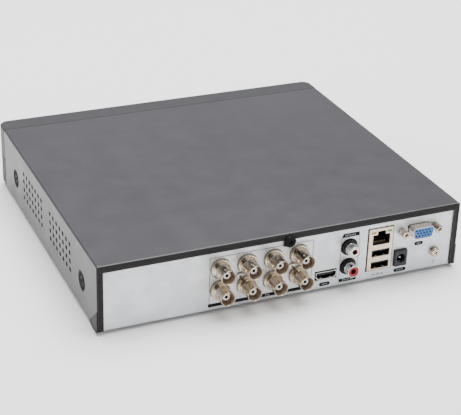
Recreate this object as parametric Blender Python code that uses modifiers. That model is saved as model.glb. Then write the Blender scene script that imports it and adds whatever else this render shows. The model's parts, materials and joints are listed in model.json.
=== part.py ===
"""Eight-input video recorder in a slim desktop case, modelled as separate pieces.

Case coordinates are millimetres: x across the case, y forwards-negative from the rear lip of the cover
(y = 0) and z up from the underside of the case. The object's own frame is metres, +Z up, +Y towards the
connector panel, with its origin on the standing surface under the middle of the object's box.
"""

import math

import bmesh
import bpy
from mathutils import Matrix, Vector

MM = 0.001
GAP = 0.3  # clearance left between pieces that touch

# Case
WIDTH = 253.0
DEPTH = 233.6
HEIGHT = 45.5
SHEET = 1.0
BEND = 1.2  # outer radius of a folded edge
BEZEL_DEPTH = 16.4
BEZEL_WALL = 2.0
BEZEL_CORNER = 6.5
HOOK_Z = (2.6, 4.8)  # lower hooks, which reach through slots in the tray
LIP_SIDE = 4.0
LIP_TOP = 4.5
FOOT_HEIGHT = 3.0
COVER_LENGTH = DEPTH - BEZEL_DEPTH - 0.4
PANEL_Y = -(SHEET + GAP)  # outer face of the connector panel
PANEL_BACK = PANEL_Y - SHEET
TRAY_HALF = WIDTH / 2 - 3.4
TRAY_FRONT = -(COVER_LENGTH - GAP)
TRAY_TOP = HEIGHT - SHEET - GAP

# Cover screws sit in round dimples
DIMPLE_RADIUS = 6.7
DIMPLE_FLOOR_RADIUS = 5.2
DIMPLE_DEPTH = 1.8
DIMPLE_BACK = 3.0
DIMPLE_Z = 20.0
DIMPLE_YS = (-31.0, -187.0)
SCREW_SHANK = 1.5
SCREW_HOLE = 1.8
REAR_SCREW_X, REAR_SCREW_Z = -1.0, 40.0

# Side vents: two fields of round holes on each side
VENT_RADIUS = 1.6
VENT_STARTS = (-164.9, -99.9)
VENT_COLUMNS = 7
VENT_PITCH_Y = 7.35
VENT_ROWS = 4
VENT_PITCH_Z = 6.13
VENT_BOTTOM_Z = 15.0

# Connectors on the panel
BNC_X = 45.4
BNC_Z = 13.65
BNC_PITCH_X = 18.13
BNC_PITCH_Z = 15.2
BNC_FRONT = 12.3
BNC_FLANGE_RADIUS = 6.6
BNC_HOUSING_SCREWS = (32.4, -3.9)
HDMI_X, HDMI_Z = -29.2, 9.25
RCA_X = -45.0
RCA_ZS = (12.8, 27.1)
LAN_LOW = (-77.1, 5.9)
LAN_HIGH = (-59.1, 36.9)
VGA_X, VGA_Z = -96.2, 31.2
VGA_POST_SPAN = 24.99
DC_X, DC_Z = -83.7, 12.2
DC_HALF = (4.6, 5.9)
GROUND_X, GROUND_Z = -109.8, 12.0

# Boards and disk
BOARD_BOTTOM = 4.0
BOARD_TOP = 5.6
BOARD_LOW = (-119.0, -86.0)
BOARD_HIGH = (62.0, -3.0)
DISK_LOW = (-36.0, -206.0)
DISK_HIGH = (111.0, -104.4)
DISK_FLOOR = 4.9
DISK_TOP = 26.6
CAVITY_FLOOR = 12.0
SPINDLE = (60.2, -155.2)
PLATTER_RADIUS = 47.5
PLATTER_Z = (18.9, 20.2)
PIVOT = (10.2, -181.2)
ARM_LENGTH = 50.0
ARM_PARKED = math.radians(81.9)

# The rear-most points are the video sockets, so the box is centred on them and the bezel
REAR_Y = (DEPTH - BNC_FRONT) / 2

COLOURS = {
    "black_paint": ((0.045, 0.045, 0.05), 0.45, 0.3),
    "bezel_plastic": ((0.07, 0.07, 0.075), 0.5, 0.0),
    "zinc_steel": ((0.62, 0.63, 0.65), 0.4, 1.0),
    "smoked_acrylic": ((0.02, 0.02, 0.025), 0.1, 0.0),
    "foot_rubber": ((0.03, 0.03, 0.03), 0.8, 0.0),
    "black_screw": ((0.03, 0.03, 0.035), 0.35, 0.8),
    "nickel": ((0.72, 0.66, 0.56), 0.25, 1.0),
    "white_plastic": ((0.85, 0.84, 0.8), 0.4, 0.0),
    "red_plastic": ((0.6, 0.05, 0.04), 0.4, 0.0),
    "blue_plastic": ((0.05, 0.25, 0.6), 0.4, 0.0),
    "black_plastic": ((0.03, 0.03, 0.03), 0.5, 0.0),
    "board_green": ((0.02, 0.2, 0.08), 0.4, 0.0),
    "aluminium": ((0.7, 0.7, 0.72), 0.35, 1.0),
    "cable_red": ((0.5, 0.04, 0.04), 0.5, 0.0),
    "cable_black": ((0.04, 0.04, 0.04), 0.5, 0.0),
}

TURN_TO_REAR = (-math.pi / 2, 0, 0)
TURN_TO_PLUS_X = (0, math.pi / 2, 0)
TURN_TO_MINUS_X = (0, -math.pi / 2, 0)


def clear_scene():
    for obj in list(bpy.data.objects):
        bpy.data.objects.remove(obj, do_unlink=True)


def new_collection(name):
    collection = bpy.data.collections.new(name)
    bpy.context.scene.collection.children.link(collection)
    return collection


def make_material(name):
    colour, roughness, metallic = COLOURS[name]
    material = bpy.data.materials.new(name)
    material.use_nodes = True
    shader = material.node_tree.nodes["Principled BSDF"]
    shader.inputs["Base Color"].default_value = (*colour, 1)
    shader.inputs["Roughness"].default_value = roughness
    shader.inputs["Metallic"].default_value = metallic
    material.diffuse_color = (*colour, 1)
    return material


clear_scene()
PARTS = new_collection("video_recorder")
TOOLS = new_collection("cutters")
MATERIALS = {name: make_material(name) for name in COLOURS}
CASE = bpy.data.objects.new("case_frame", None)
CASE.location = (0, REAR_Y * MM, FOOT_HEIGHT * MM)
PARTS.objects.link(CASE)


# ---- building blocks ----


def add_box(bm, low, high):
    """A box between two corners, in millimetres."""
    low, high = Vector(low), Vector(high)
    matrix = Matrix.Translation((low + high) / 2) @ Matrix.Diagonal((*(high - low), 1))
    return bmesh.ops.create_cube(bm, size=1, matrix=matrix)["verts"]


def add_cylinder(bm, start, end, radius, segments=16, end_radius=None):
    """A cylinder, or a cone, between two points."""
    start, end = Vector(start), Vector(end)
    turn = (end - start).to_track_quat("Z", "Y").to_matrix().to_4x4()
    bmesh.ops.create_cone(
        bm,
        cap_ends=True,
        segments=segments,
        radius1=radius,
        radius2=radius if end_radius is None else end_radius,
        depth=(end - start).length,
        matrix=Matrix.Translation((start + end) / 2) @ turn,
    )


def boxes(*corners):
    """A mesh of separate boxes, each given by its two corners."""
    bm = bmesh.new()
    for low, high in corners:
        add_box(bm, low, high)
    return bm


def to_mesh(name, bm):
    bmesh.ops.scale(bm, vec=(MM, MM, MM), verts=bm.verts)
    mesh = bpy.data.meshes.new(name)
    bm.to_mesh(mesh)
    bm.free()
    return mesh


def put(name, mesh, material, at=(0, 0, 0), turn=(0, 0, 0)):
    """Places a named piece in the case and gives it its material."""
    obj = bpy.data.objects.new(name, mesh)
    PARTS.objects.link(obj)
    obj.parent = CASE
    obj.location = Vector(at) * MM
    obj.rotation_euler = turn
    if not mesh.materials:
        mesh.materials.append(MATERIALS[material])
    return obj


def piece(name, bm, material, at=(0, 0, 0), turn=(0, 0, 0)):
    return put(name, to_mesh(name, bm), material, at, turn)


def use_tool(obj, bm, operation):
    """Cuts or joins a mesh given in the object's own coordinates."""
    name = f"{obj.name}_{operation.lower()}_{len(obj.modifiers)}"
    tool = bpy.data.objects.new(name, to_mesh(name, bm))
    TOOLS.objects.link(tool)
    tool.parent = obj
    tool.hide_render = True
    tool.display_type = "WIRE"
    modifier = obj.modifiers.new(name, "BOOLEAN")
    modifier.operation = operation
    modifier.solver = "EXACT"
    modifier.object = tool
    return obj


def cut(obj, bm):
    return use_tool(obj, bm, "DIFFERENCE")


def join(obj, bm):
    return use_tool(obj, bm, "UNION")


def turned(name, profile, material, segments, at=(0, 0, 0), turn=(0, 0, 0)):
    """A turned piece. The profile is (radius, z) from its top to its bottom, down the outer side.
    One that starts and ends off the axis is a ring."""
    mesh = bpy.data.meshes.new(name)
    points = [(radius * MM, 0, z * MM) for radius, z in profile]
    edges = [(i, i + 1) for i in range(len(points) - 1)]
    if profile[0][0] > 0:
        edges.append((len(points) - 1, 0))
    mesh.from_pydata(points, edges, [])
    obj = put(name, mesh, material, at, turn)
    screw = obj.modifiers.new("turn", "SCREW")
    screw.steps = screw.render_steps = segments
    screw.use_merge_vertices = True
    screw.merge_threshold = 0.00001
    screw.use_smooth_shade = False
    return obj


def finished_mesh(obj):
    """The object's mesh with its modifiers applied, for pieces that are repeated. The object is removed."""
    bpy.context.view_layer.update()
    evaluated = obj.evaluated_get(bpy.context.evaluated_depsgraph_get())
    mesh = bpy.data.meshes.new_from_object(evaluated)
    mesh.name = obj.name
    for tool in list(obj.children):
        bpy.data.objects.remove(tool)
    bpy.data.objects.remove(obj)
    return mesh


def folded_sheet(name, low, high, open_sides, bend, wall, material):
    """A box of sheet with some sides left open, rounded edges and the wall on the inside.
    open_sides holds outward directions, such as (0, 0, -1)."""
    bm = bmesh.new()
    add_box(bm, low, high)
    bm.normal_update()
    gone = [f for f in bm.faces if any(f.normal.dot(Vector(d)) > 0.9 for d in open_sides)]
    bmesh.ops.delete(bm, geom=gone, context="FACES")
    edges = [e for e in bm.edges if len(e.link_faces) == 2]
    bmesh.ops.bevel(bm, geom=edges, offset=bend, segments=2, profile=0.5, affect="EDGES")
    obj = piece(name, bm, material)
    shell = obj.modifiers.new("wall", "SOLIDIFY")
    shell.thickness = wall * MM
    shell.offset = -1
    shell.use_even_offset = True
    return obj


def polygon_prism(bm, outline, start, end):
    """Extrudes an (x, z) outline along y."""
    face = bm.faces.new([bm.verts.new((x, start, z)) for x, z in outline])
    made = bmesh.ops.extrude_face_region(bm, geom=[face])["geom"]
    moved = [v for v in made if isinstance(v, bmesh.types.BMVert)]
    bmesh.ops.translate(bm, vec=(0, end - start, 0), verts=moved)
    bmesh.ops.recalc_face_normals(bm, faces=bm.faces)


def d_outline(centre, width, height, slope=0.75, corner=1.2):
    """The D shape of a 15-way socket: wider at the top, with cut corners."""
    x, z = centre
    top, bottom = width / 2, width / 2 - slope * 2
    half = height / 2
    right = [
        (top - corner, half),
        (top, half - corner),
        (bottom + 0.15, -half + corner),
        (bottom - corner, -half),
    ]
    left = [(-a, b) for a, b in reversed(right)]
    return [(x + a, z + b) for a, b in right + left]


# ---- case ----


def panel_openings():
    """Everything that is punched out of the connector panel."""
    front, back = PANEL_Y + 1, PANEL_BACK - 1
    bm = bmesh.new()
    holes = [(x, z, BNC_FLANGE_RADIUS + 0.35, 16) for x, z in bnc_axes()]
    holes += [(x, BNC_Z + BNC_PITCH_Z / 2, 1.3, 10) for x in BNC_HOUSING_SCREWS]
    holes += [(RCA_X, z, 6.2, 16) for z in RCA_ZS]
    holes += [(VGA_X + side * VGA_POST_SPAN / 2, VGA_Z, 1.7, 10) for side in (-1, 1)]
    holes += [(GROUND_X, GROUND_Z, 2.0, 12), (REAR_SCREW_X, REAR_SCREW_Z, SCREW_HOLE, 12)]
    for x, z, radius, segments in holes:
        add_cylinder(bm, (x, back, z), (x, front, z), radius, segments)
    windows = [
        ((HDMI_X - 8.0, HDMI_Z - 3.2), (HDMI_X + 8.2, HDMI_Z + 3.7)),
        ((LAN_LOW[0] - 0.4, LAN_LOW[1] - 0.4), (LAN_HIGH[0] + 0.9, LAN_HIGH[1] + 0.6)),
        ((DC_X - DC_HALF[0] - 0.3, DC_Z - DC_HALF[1] - 0.3), (DC_X + DC_HALF[0] + 0.3, DC_Z + DC_HALF[1] + 0.3)),
    ]
    for (x0, z0), (x1, z1) in windows:
        add_box(bm, (x0, back, z0), (x1, front, z1))
    polygon_prism(bm, d_outline((VGA_X, VGA_Z), 17.0, 8.6), back, front)
    return bm


def standoff_spots():
    """Four screw posts under the main board."""
    return [(x, y) for x in (BOARD_LOW[0] + 5, BOARD_HIGH[0] - 5) for y in (BOARD_LOW[1] + 5, -30.0)]


def disk_spots():
    """Four posts under the disk drive, near its long edges."""
    return [(x, y) for x in (-20.0, 75.25) for y in (DISK_LOW[1] + 3.2, DISK_HIGH[1] - 3.2)]


def foot_spots():
    return {
        "front_left": (-104.0, -200.0),
        "front_right": (104.0, -200.0),
        "rear_left": (-104.0, -18.0),
        "rear_right": (104.0, -18.0),
    }


def make_chassis_tray():
    """One folded sheet: base, connector panel, low side flanges with screw tabs and a front wall."""
    low = (-TRAY_HALF, TRAY_FRONT, 0)
    high = (TRAY_HALF, PANEL_Y, TRAY_TOP)
    tray = folded_sheet("chassis_tray", low, high, [(0, 0, 1)], BEND, SHEET, "zinc_steel")
    flange_top, tab_top, tab_half = 12.0, 29.0, 7.5
    y_front, y_rear = TRAY_FRONT - 1, PANEL_BACK - 0.5
    levels = [(y_front, y_rear, tab_top, HEIGHT)]
    stops = [y_front, DIMPLE_YS[1] - tab_half, DIMPLE_YS[1] + tab_half]
    stops += [DIMPLE_YS[0] - tab_half, DIMPLE_YS[0] + tab_half, y_rear]
    levels += [(a, b, flange_top, tab_top + 1) for a, b in zip(stops[::2], stops[1::2])]
    for level, (y0, y1, z0, z1) in enumerate(levels):
        outer, inner = TRAY_HALF + 1, TRAY_HALF - 2 - 0.1 * level
        cut(tray, boxes(((-outer, y0, z0), (-inner, y1, z1)), ((inner, y0, z0), (outer, y1, z1))))
    cut(tray, boxes(((-TRAY_HALF - 2, y_front, 38), (TRAY_HALF + 2, TRAY_FRONT + 2, HEIGHT + 1))))
    rim = WIDTH / 2 - SHEET - GAP
    join(tray, boxes(((-rim, TRAY_FRONT, 0), (rim, PANEL_Y, SHEET))))
    posts = bmesh.new()
    for x, y in standoff_spots():
        add_cylinder(posts, (x, y, SHEET / 2), (x, y, BOARD_BOTTOM - GAP), 3.0, 8)
    for x, y in disk_spots():
        add_cylinder(posts, (x, y, SHEET / 2), (x, y, DISK_FLOOR - GAP), 3.0, 8)
    join(tray, posts)
    holes = bmesh.new()
    for x, y in disk_spots():
        add_cylinder(holes, (x, y, -1), (x, y, DISK_FLOOR), 1.7, 6)
    for x, y in standoff_spots():
        add_cylinder(holes, (x, y, 2), (x, y, BOARD_TOP), 1.2, 6)
    for x, y in foot_spots().values():
        add_cylinder(holes, (x, y, -1), (x, y, SHEET + 1), 2.5, 8)
    for side in (-1, 1):
        for y in DIMPLE_YS:
            inner, outer = side * (TRAY_HALF - 2), side * (TRAY_HALF + 1)
            add_cylinder(holes, (inner, y, DIMPLE_Z), (outer, y, DIMPLE_Z), SCREW_HOLE, 12)
        add_box(holes, (side * 90 - 10.5, y_front, HOOK_Z[0] - 0.5), (side * 90 + 10.5, TRAY_FRONT + 2, HOOK_Z[1] + 0.5))
    cut(tray, holes)
    cut(tray, panel_openings())


def make_top_cover():
    """A folded U with a narrow lip round three sides of the connector panel, vents and screw dimples."""
    half = WIDTH / 2
    low, high = (-half, -COVER_LENGTH, 0), (half, 0, HEIGHT)
    cover = folded_sheet("top_cover", low, high, [(0, 0, -1), (0, -1, 0)], BEND, SHEET, "black_paint")
    opening = half - LIP_SIDE
    cut(cover, boxes(((-opening, -SHEET - 0.4, -1), (opening, 1, HEIGHT - LIP_TOP))))
    backs = bmesh.new()
    for side in (-1, 1):
        for y in DIMPLE_YS:
            inner, outer = side * (half - DIMPLE_BACK), side * (half - SHEET / 2)
            add_cylinder(backs, (inner, y, DIMPLE_Z), (outer, y, DIMPLE_Z), DIMPLE_RADIUS + 0.8, 24)
    add_box(backs, (REAR_SCREW_X - 3.6, -SHEET, 36.5), (REAR_SCREW_X + 3.6, -0.02, HEIGHT - LIP_TOP + 1))
    join(cover, backs)
    holes = bmesh.new()
    over = 0.5
    flare = (DIMPLE_RADIUS - DIMPLE_FLOOR_RADIUS) * over / DIMPLE_DEPTH
    for side in (-1, 1):
        for y in DIMPLE_YS:
            floor, mouth = side * (half - DIMPLE_DEPTH), side * (half + over)
            add_cylinder(
                holes, (floor, y, DIMPLE_Z), (mouth, y, DIMPLE_Z), DIMPLE_FLOOR_RADIUS, 24, DIMPLE_RADIUS + flare
            )
        for start in VENT_STARTS:
            for column in range(VENT_COLUMNS):
                for row in range(VENT_ROWS):
                    y = start + column * VENT_PITCH_Y
                    z = VENT_BOTTOM_Z + row * VENT_PITCH_Z
                    add_cylinder(
                        holes, (side * (half - 2), y, z), (side * (half + 1), y, z), VENT_RADIUS, 6
                    )
    cut(cover, holes)
    shanks = bmesh.new()
    for side in (-1, 1):
        for y in DIMPLE_YS:
            inner, outer = side * (half - DIMPLE_BACK - 1), side * (half - 1)
            add_cylinder(shanks, (inner, y, DIMPLE_Z), (outer, y, DIMPLE_Z), SCREW_HOLE, 12)
    x, z = REAR_SCREW_X, REAR_SCREW_Z
    add_cylinder(shanks, (x, -SHEET - 1, z), (x, 1, z), SCREW_HOLE, 12)
    cut(cover, shanks)


WINDOW_LOW, WINDOW_HIGH = (-110.0, 7.0), (-50.0, 17.0)


def make_front_bezel():
    """Moulded front with rounded corners, open at the back, with a window, hooks and board bosses."""
    half, front, back = WIDTH / 2, -DEPTH, -(DEPTH - BEZEL_DEPTH)
    bm = bmesh.new()
    add_box(bm, (-half, front, 0), (half, back, HEIGHT))
    upright = [e for e in bm.edges if all(abs(v.co.y - front) < 0.01 for v in e.verts)]
    upright = [e for e in upright if abs(e.verts[0].co.z - e.verts[1].co.z) > 1]
    bmesh.ops.bevel(
        bm, geom=upright, offset=BEZEL_CORNER, segments=5, profile=0.5, affect="EDGES"
    )
    bm.normal_update()
    behind = [f for f in bm.faces if f.normal.y > 0.9]
    bmesh.ops.delete(bm, geom=behind, context="FACES")
    rims = [e for e in bm.edges if len(e.link_faces) == 2]
    rims = [e for e in rims if abs(e.link_faces[0].normal.z) + abs(e.link_faces[1].normal.z) > 0.9]
    bmesh.ops.bevel(bm, geom=rims, offset=1.0, segments=2, profile=0.5, affect="EDGES")
    bezel = piece("front_bezel", bm, "bezel_plastic")
    shell = bezel.modifiers.new("wall", "SOLIDIFY")
    shell.thickness = BEZEL_WALL * MM
    shell.offset = -1
    shell.use_even_offset = True
    (x0, z0), (x1, z1) = WINDOW_LOW, WINDOW_HIGH
    cut(bezel, boxes(((x0, front - 1, z0), (x1, front + 3, z1))))
    inside = HEIGHT - BEZEL_WALL
    hooks, ribs = bmesh.new(), bmesh.new()
    for side in (-1, 1):
        x = side * 90
        add_box(hooks, (x - 10, back - 8, inside - 2.2), (x + 10, back + 6, inside + 0.5))
        add_box(hooks, (x - 10, back - 8, HOOK_Z[0]), (x + 10, back + 6, HOOK_Z[1]))
        add_box(ribs, (x - 9, back - 7, BEZEL_WALL - 0.5), (x + 9, back - 4, HOOK_Z[0] + 0.5))
    for x in (x0 + 6, x1 - 6):
        add_cylinder(hooks, (x, front + 1, 22.5), (x, front + 6.5, 22.5), 2.5, 10)
    join(bezel, hooks)
    join(bezel, ribs)


def make_front_window():
    """Smoked window with a flange that bears on the inside of the bezel."""
    (x0, z0), (x1, z1) = WINDOW_LOW, WINDOW_HIGH
    inner = -DEPTH + BEZEL_WALL + GAP
    bm = boxes(((x0 + GAP, -DEPTH + 0.2, z0 + GAP), (x1 - GAP, inner + 0.6, z1 - GAP)))
    window = piece("front_window", bm, "smoked_acrylic")
    join(window, boxes(((x0 - 2, inner, z0 - 2), (x1 + 2, inner + 1.2, z1 + 1.6))))


def make_status_board():
    """Small board behind the window, with three lamps and a remote-control receiver."""
    (x0, _), (x1, _) = WINDOW_LOW, WINDOW_HIGH
    face = -DEPTH + 6.5 + GAP
    board = piece("status_board", boxes(((x0 - 1, face, 5.4), (x1 + 1, face + 1.4, 26))), "board_green")
    lamps = bmesh.new()
    for x in (x0 + 10, x0 + 20, x0 + 30, x1 - 12):
        add_cylinder(lamps, (x, face + 0.5, 12), (x, face - 2.2, 12), 1.5, 10)
    join(board, lamps)


def make_feet():
    """Push-in rubber feet, each with a stud through the tray."""
    profile = [
        (0, 2.6),
        (2.9, 2.2),
        (2.9, SHEET + GAP),
        (2.1, SHEET + GAP),
        (2.1, -GAP),
        (7.0, -GAP),
        (6.2, -FOOT_HEIGHT),
        (0, -FOOT_HEIGHT),
    ]
    mesh = finished_mesh(turned("foot", profile, "foot_rubber", 16))
    for place, (x, y) in foot_spots().items():
        put(f"foot_{place}", mesh, "foot_rubber", (x, y, 0))


def pan_screw(name, head_radius, head_height, shank_radius, length, material):
    """A pan-head screw with a cross recess, its head on +Z and the seat of the head at z = 0."""
    profile = [
        (0, head_height),
        (head_radius * 0.62, head_height * 0.93),
        (head_radius * 0.92, head_height * 0.6),
        (head_radius, head_height * 0.2),
        (head_radius, 0),
        (shank_radius, 0),
        (shank_radius, -length + 0.6),
        (shank_radius * 0.7, -length),
        (0, -length),
    ]
    screw = turned(name, profile, material, 12)
    arm, slot, depth = head_radius * 0.5, head_radius * 0.12, head_height * 0.55
    cut(screw, boxes(((-arm, -slot, depth), (arm, slot, head_height + 1))))
    cut(screw, boxes(((-slot, -arm, depth - 0.02), (slot, arm, head_height + 1))))
    return finished_mesh(screw)


def make_cover_screws():
    seat = WIDTH / 2 - DIMPLE_DEPTH + GAP
    mesh = pan_screw("side_screw", 3.8, 1.4, SCREW_SHANK, 7.5, "black_screw")
    for side, label, turn in ((-1, "left", TURN_TO_MINUS_X), (1, "right", TURN_TO_PLUS_X)):
        for y, place in zip(DIMPLE_YS, ("rear", "front")):
            put(f"side_screw_{label}_{place}", mesh, "black_screw", (side * seat, y, DIMPLE_Z), turn)
    mesh = pan_screw("rear_screw", 4.0, 2.3, SCREW_SHANK, 6.5, "black_screw")
    put("rear_cover_screw", mesh, "black_screw", (REAR_SCREW_X, GAP, REAR_SCREW_Z), TURN_TO_REAR)


# ---- connectors ----


def bnc_axes():
    """Centres of the eight video sockets, upper row first, left to right as seen from behind."""
    return [
        (BNC_X - column * BNC_PITCH_X, BNC_Z + (1 - row) * BNC_PITCH_Z)
        for row in range(2)
        for column in range(4)
    ]


NECK_END = -9.0
NECK_RADIUS = 4.4


def make_video_sockets():
    """Bayonet sockets: turned shells with two lugs, white insulators and a moulded housing."""
    housing_face = PANEL_BACK - GAP
    flange_back = housing_face + GAP
    shell_profile = [
        (4.07, BNC_FRONT),
        (4.83, BNC_FRONT),
        (4.83, 2.6),
        (5.6, 1.9),
        (5.6, 1.0),
        (BNC_FLANGE_RADIUS, 1.0),
        (BNC_FLANGE_RADIUS, flange_back),
        (NECK_RADIUS, flange_back),
        (NECK_RADIUS, NECK_END),
        (2.4, NECK_END),
        (2.4, 3.0),
        (4.07, 3.0),
    ]
    shell = turned("bnc_shell", shell_profile, "nickel", 16)
    lugs = bmesh.new()
    for side in (-1, 1):
        add_cylinder(lugs, (side * 4.4, 0, BNC_FRONT - 4.2), (side * 5.5, 0, BNC_FRONT - 4.2), 0.95, 8)
    join(shell, lugs)
    shell_mesh = finished_mesh(shell)
    solid_profile = [(0, 9.0), (2.1, 9.0), (2.1, NECK_END - 1), (0, NECK_END - 1)]
    insulator = turned("bnc_insulator", solid_profile, "white_plastic", 12)
    bore = bmesh.new()
    add_cylinder(bore, (0, 0, 2.0), (0, 0, 10.0), 0.75, 8)
    cut(insulator, bore)
    insulator_mesh = finished_mesh(insulator)
    for number, (x, z) in enumerate(bnc_axes(), 1):
        put(f"bnc_shell_{number}", shell_mesh, "nickel", (x, 0, z), TURN_TO_REAR)
        put(f"bnc_insulator_{number}", insulator_mesh, "white_plastic", (x, 0, z), TURN_TO_REAR)
    low = (BNC_X - 3 * BNC_PITCH_X - 9, -24.0, BOARD_TOP + GAP)
    high = (BNC_X + 9, housing_face, 36.8)
    housing = piece("bnc_housing", boxes((low, high)), "black_plastic")
    sockets = bmesh.new()
    for x, z in bnc_axes():
        add_cylinder(sockets, (x, NECK_END - 2, z), (x, 0, z), NECK_RADIUS + GAP, 12)
    for x in BNC_HOUSING_SCREWS:
        z = BNC_Z + BNC_PITCH_Z / 2
        add_cylinder(sockets, (x, -11, z), (x, 0, z), 1.3, 8)
    cut(housing, sockets)
    mesh = pan_screw("housing_screw", 2.2, 1.5, 1.0, 8.0, "nickel")
    for number, x in enumerate(BNC_HOUSING_SCREWS, 1):
        at = (x, PANEL_Y + GAP, BNC_Z + BNC_PITCH_Z / 2)
        put(f"bnc_housing_screw_{number}", mesh, "nickel", at, TURN_TO_REAR)


def hdmi_outline(inset):
    """Flat-topped outline with both lower corners cut off."""
    half, top, bottom = 7.5 - inset, 2.75 - inset, -2.75 + inset
    cut_x, cut_z = 1.9, 1.9
    points = [(-half, top), (-half, bottom + cut_z), (-half + cut_x, bottom)]
    points += [(-a, b) for a, b in reversed(points)]
    return [(HDMI_X + a, HDMI_Z + b) for a, b in points]


def make_hdmi_socket():
    bm = bmesh.new()
    polygon_prism(bm, hdmi_outline(0), -13.0, -0.9)
    shell = piece("hdmi_shell", bm, "nickel")
    hollow = bmesh.new()
    polygon_prism(hollow, hdmi_outline(0.45), -14.0, 0.0)
    cut(shell, hollow)
    bm = bmesh.new()
    polygon_prism(bm, hdmi_outline(0.65), -12.8, -9.5)
    tongue = piece("hdmi_tongue", bm, "black_plastic")
    tongue_box = ((HDMI_X - 5.6, -10.0, HDMI_Z - 0.3), (HDMI_X + 5.6, -2.2, HDMI_Z + 1.3))
    join(tongue, boxes(tongue_box))


def make_audio_sockets():
    """Two stacked phono sockets in one moulding."""
    face = PANEL_BACK - GAP
    disc_front = 0.9
    low = (RCA_X - 6.8, -20.0, BOARD_TOP + GAP)
    high = (RCA_X + 6.8, face, RCA_ZS[1] + 7.2)
    housing = piece("rca_housing", boxes((low, high)), "black_plastic")
    discs, hollows = bmesh.new(), bmesh.new()
    for z in RCA_ZS:
        add_cylinder(discs, (RCA_X, face - 0.5, z), (RCA_X, disc_front, z), 5.8, 16)
        add_cylinder(hollows, (RCA_X, -12.0, z), (RCA_X, disc_front + 1, z), 4.45, 16)
    join(housing, discs)
    cut(housing, hollows)
    rim = 7.2
    shell_profile = [(3.55, rim), (4.15, rim), (4.15, -11.5), (3.55, -11.5)]
    shell_mesh = finished_mesh(turned("rca_shell", shell_profile, "nickel", 16))
    core_profile = [(0, rim - 0.3), (3.35, rim - 0.3), (3.35, -11.2), (0, -11.2)]
    core = turned("rca_core", core_profile, "white_plastic", 16)
    bore = bmesh.new()
    add_cylinder(bore, (0, 0, -4.0), (0, 0, rim + 1), 1.6, 10)
    cut(core, bore)
    core_mesh = finished_mesh(core)
    red_mesh = core_mesh.copy()
    red_mesh.materials.clear()
    for z, label, mesh, colour in zip(
        RCA_ZS, ("out", "in"), (red_mesh, core_mesh), ("red_plastic", "white_plastic")
    ):
        put(f"rca_shell_{label}", shell_mesh, "nickel", (RCA_X, 0, z), TURN_TO_REAR)
        put(f"rca_insulator_{label}", mesh, colour, (RCA_X, 0, z), TURN_TO_REAR)


LAN_FACE = -0.8
LAN_BACK = -23.0
JACK_X = (-74.7, -62.0)  # network socket, across
JACK_Z = (24.7, 32.2)
USB_X = (-75.1, -61.9)
USB_ZS = (7.2, 16.0)
USB_TALL = 5.1


def make_network_and_usb():
    """A network socket over two USB sockets in one steel can, with one plastic core."""
    (x0, z0), (x1, z1) = LAN_LOW, LAN_HIGH
    low, high = (x0, LAN_BACK, z0), (x1, LAN_FACE, z1)
    can = folded_sheet("lan_usb_shield", low, high, [(0, -1, 0)], 0.3, 0.45, "nickel")
    middle = (JACK_X[0] + JACK_X[1]) / 2
    y0, y1 = LAN_FACE - 2, LAN_FACE + 1
    cut(can, boxes(((JACK_X[0], y0, JACK_Z[0]), (JACK_X[1], y1, JACK_Z[1]))))
    windows = [((middle - 3.0, y0, JACK_Z[1] - 1), (middle + 3.0, y1, JACK_Z[1] + 2.6))]
    for x in (JACK_X[0] + 0.5, JACK_X[1] - 0.5):
        windows.append(((x - 1.8, y0, JACK_Z[1] + 0.9), (x + 1.8, y1, JACK_Z[1] + 2.7)))
    for z in USB_ZS:
        windows.append(((USB_X[0], y0, z), (USB_X[1], y1, z + USB_TALL)))
    cut(can, boxes(*windows))
    wall = 0.45 + GAP
    bm = boxes(((x0 + wall, LAN_BACK + 0.5, z0 + wall), (x1 - wall, LAN_FACE - wall, z1 - wall)))
    core = piece("lan_usb_core", bm, "black_plastic")
    hollow_front = LAN_FACE + 0.5
    cavities = [((JACK_X[0] + 0.4, -15.5, JACK_Z[0] + 0.3), (JACK_X[1] - 0.4, hollow_front, JACK_Z[1] - 0.3))]
    for z in USB_ZS:
        cavities.append(((USB_X[0] + 0.3, -14.0, z + 0.2), (USB_X[1] - 0.3, hollow_front, z + USB_TALL - 0.2)))
    cut(core, boxes(*cavities))
    cut(core, boxes(((middle - 3.0, -13.0, JACK_Z[1] - 1), (middle + 3.0, hollow_front, JACK_Z[1] + 2.2))))
    tongues = [((USB_X[0] + 1.0, -14.5, z + 2.9), (USB_X[1] - 1.0, -2.5, z + 4.5)) for z in USB_ZS]
    join(core, boxes(*tongues))


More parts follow.
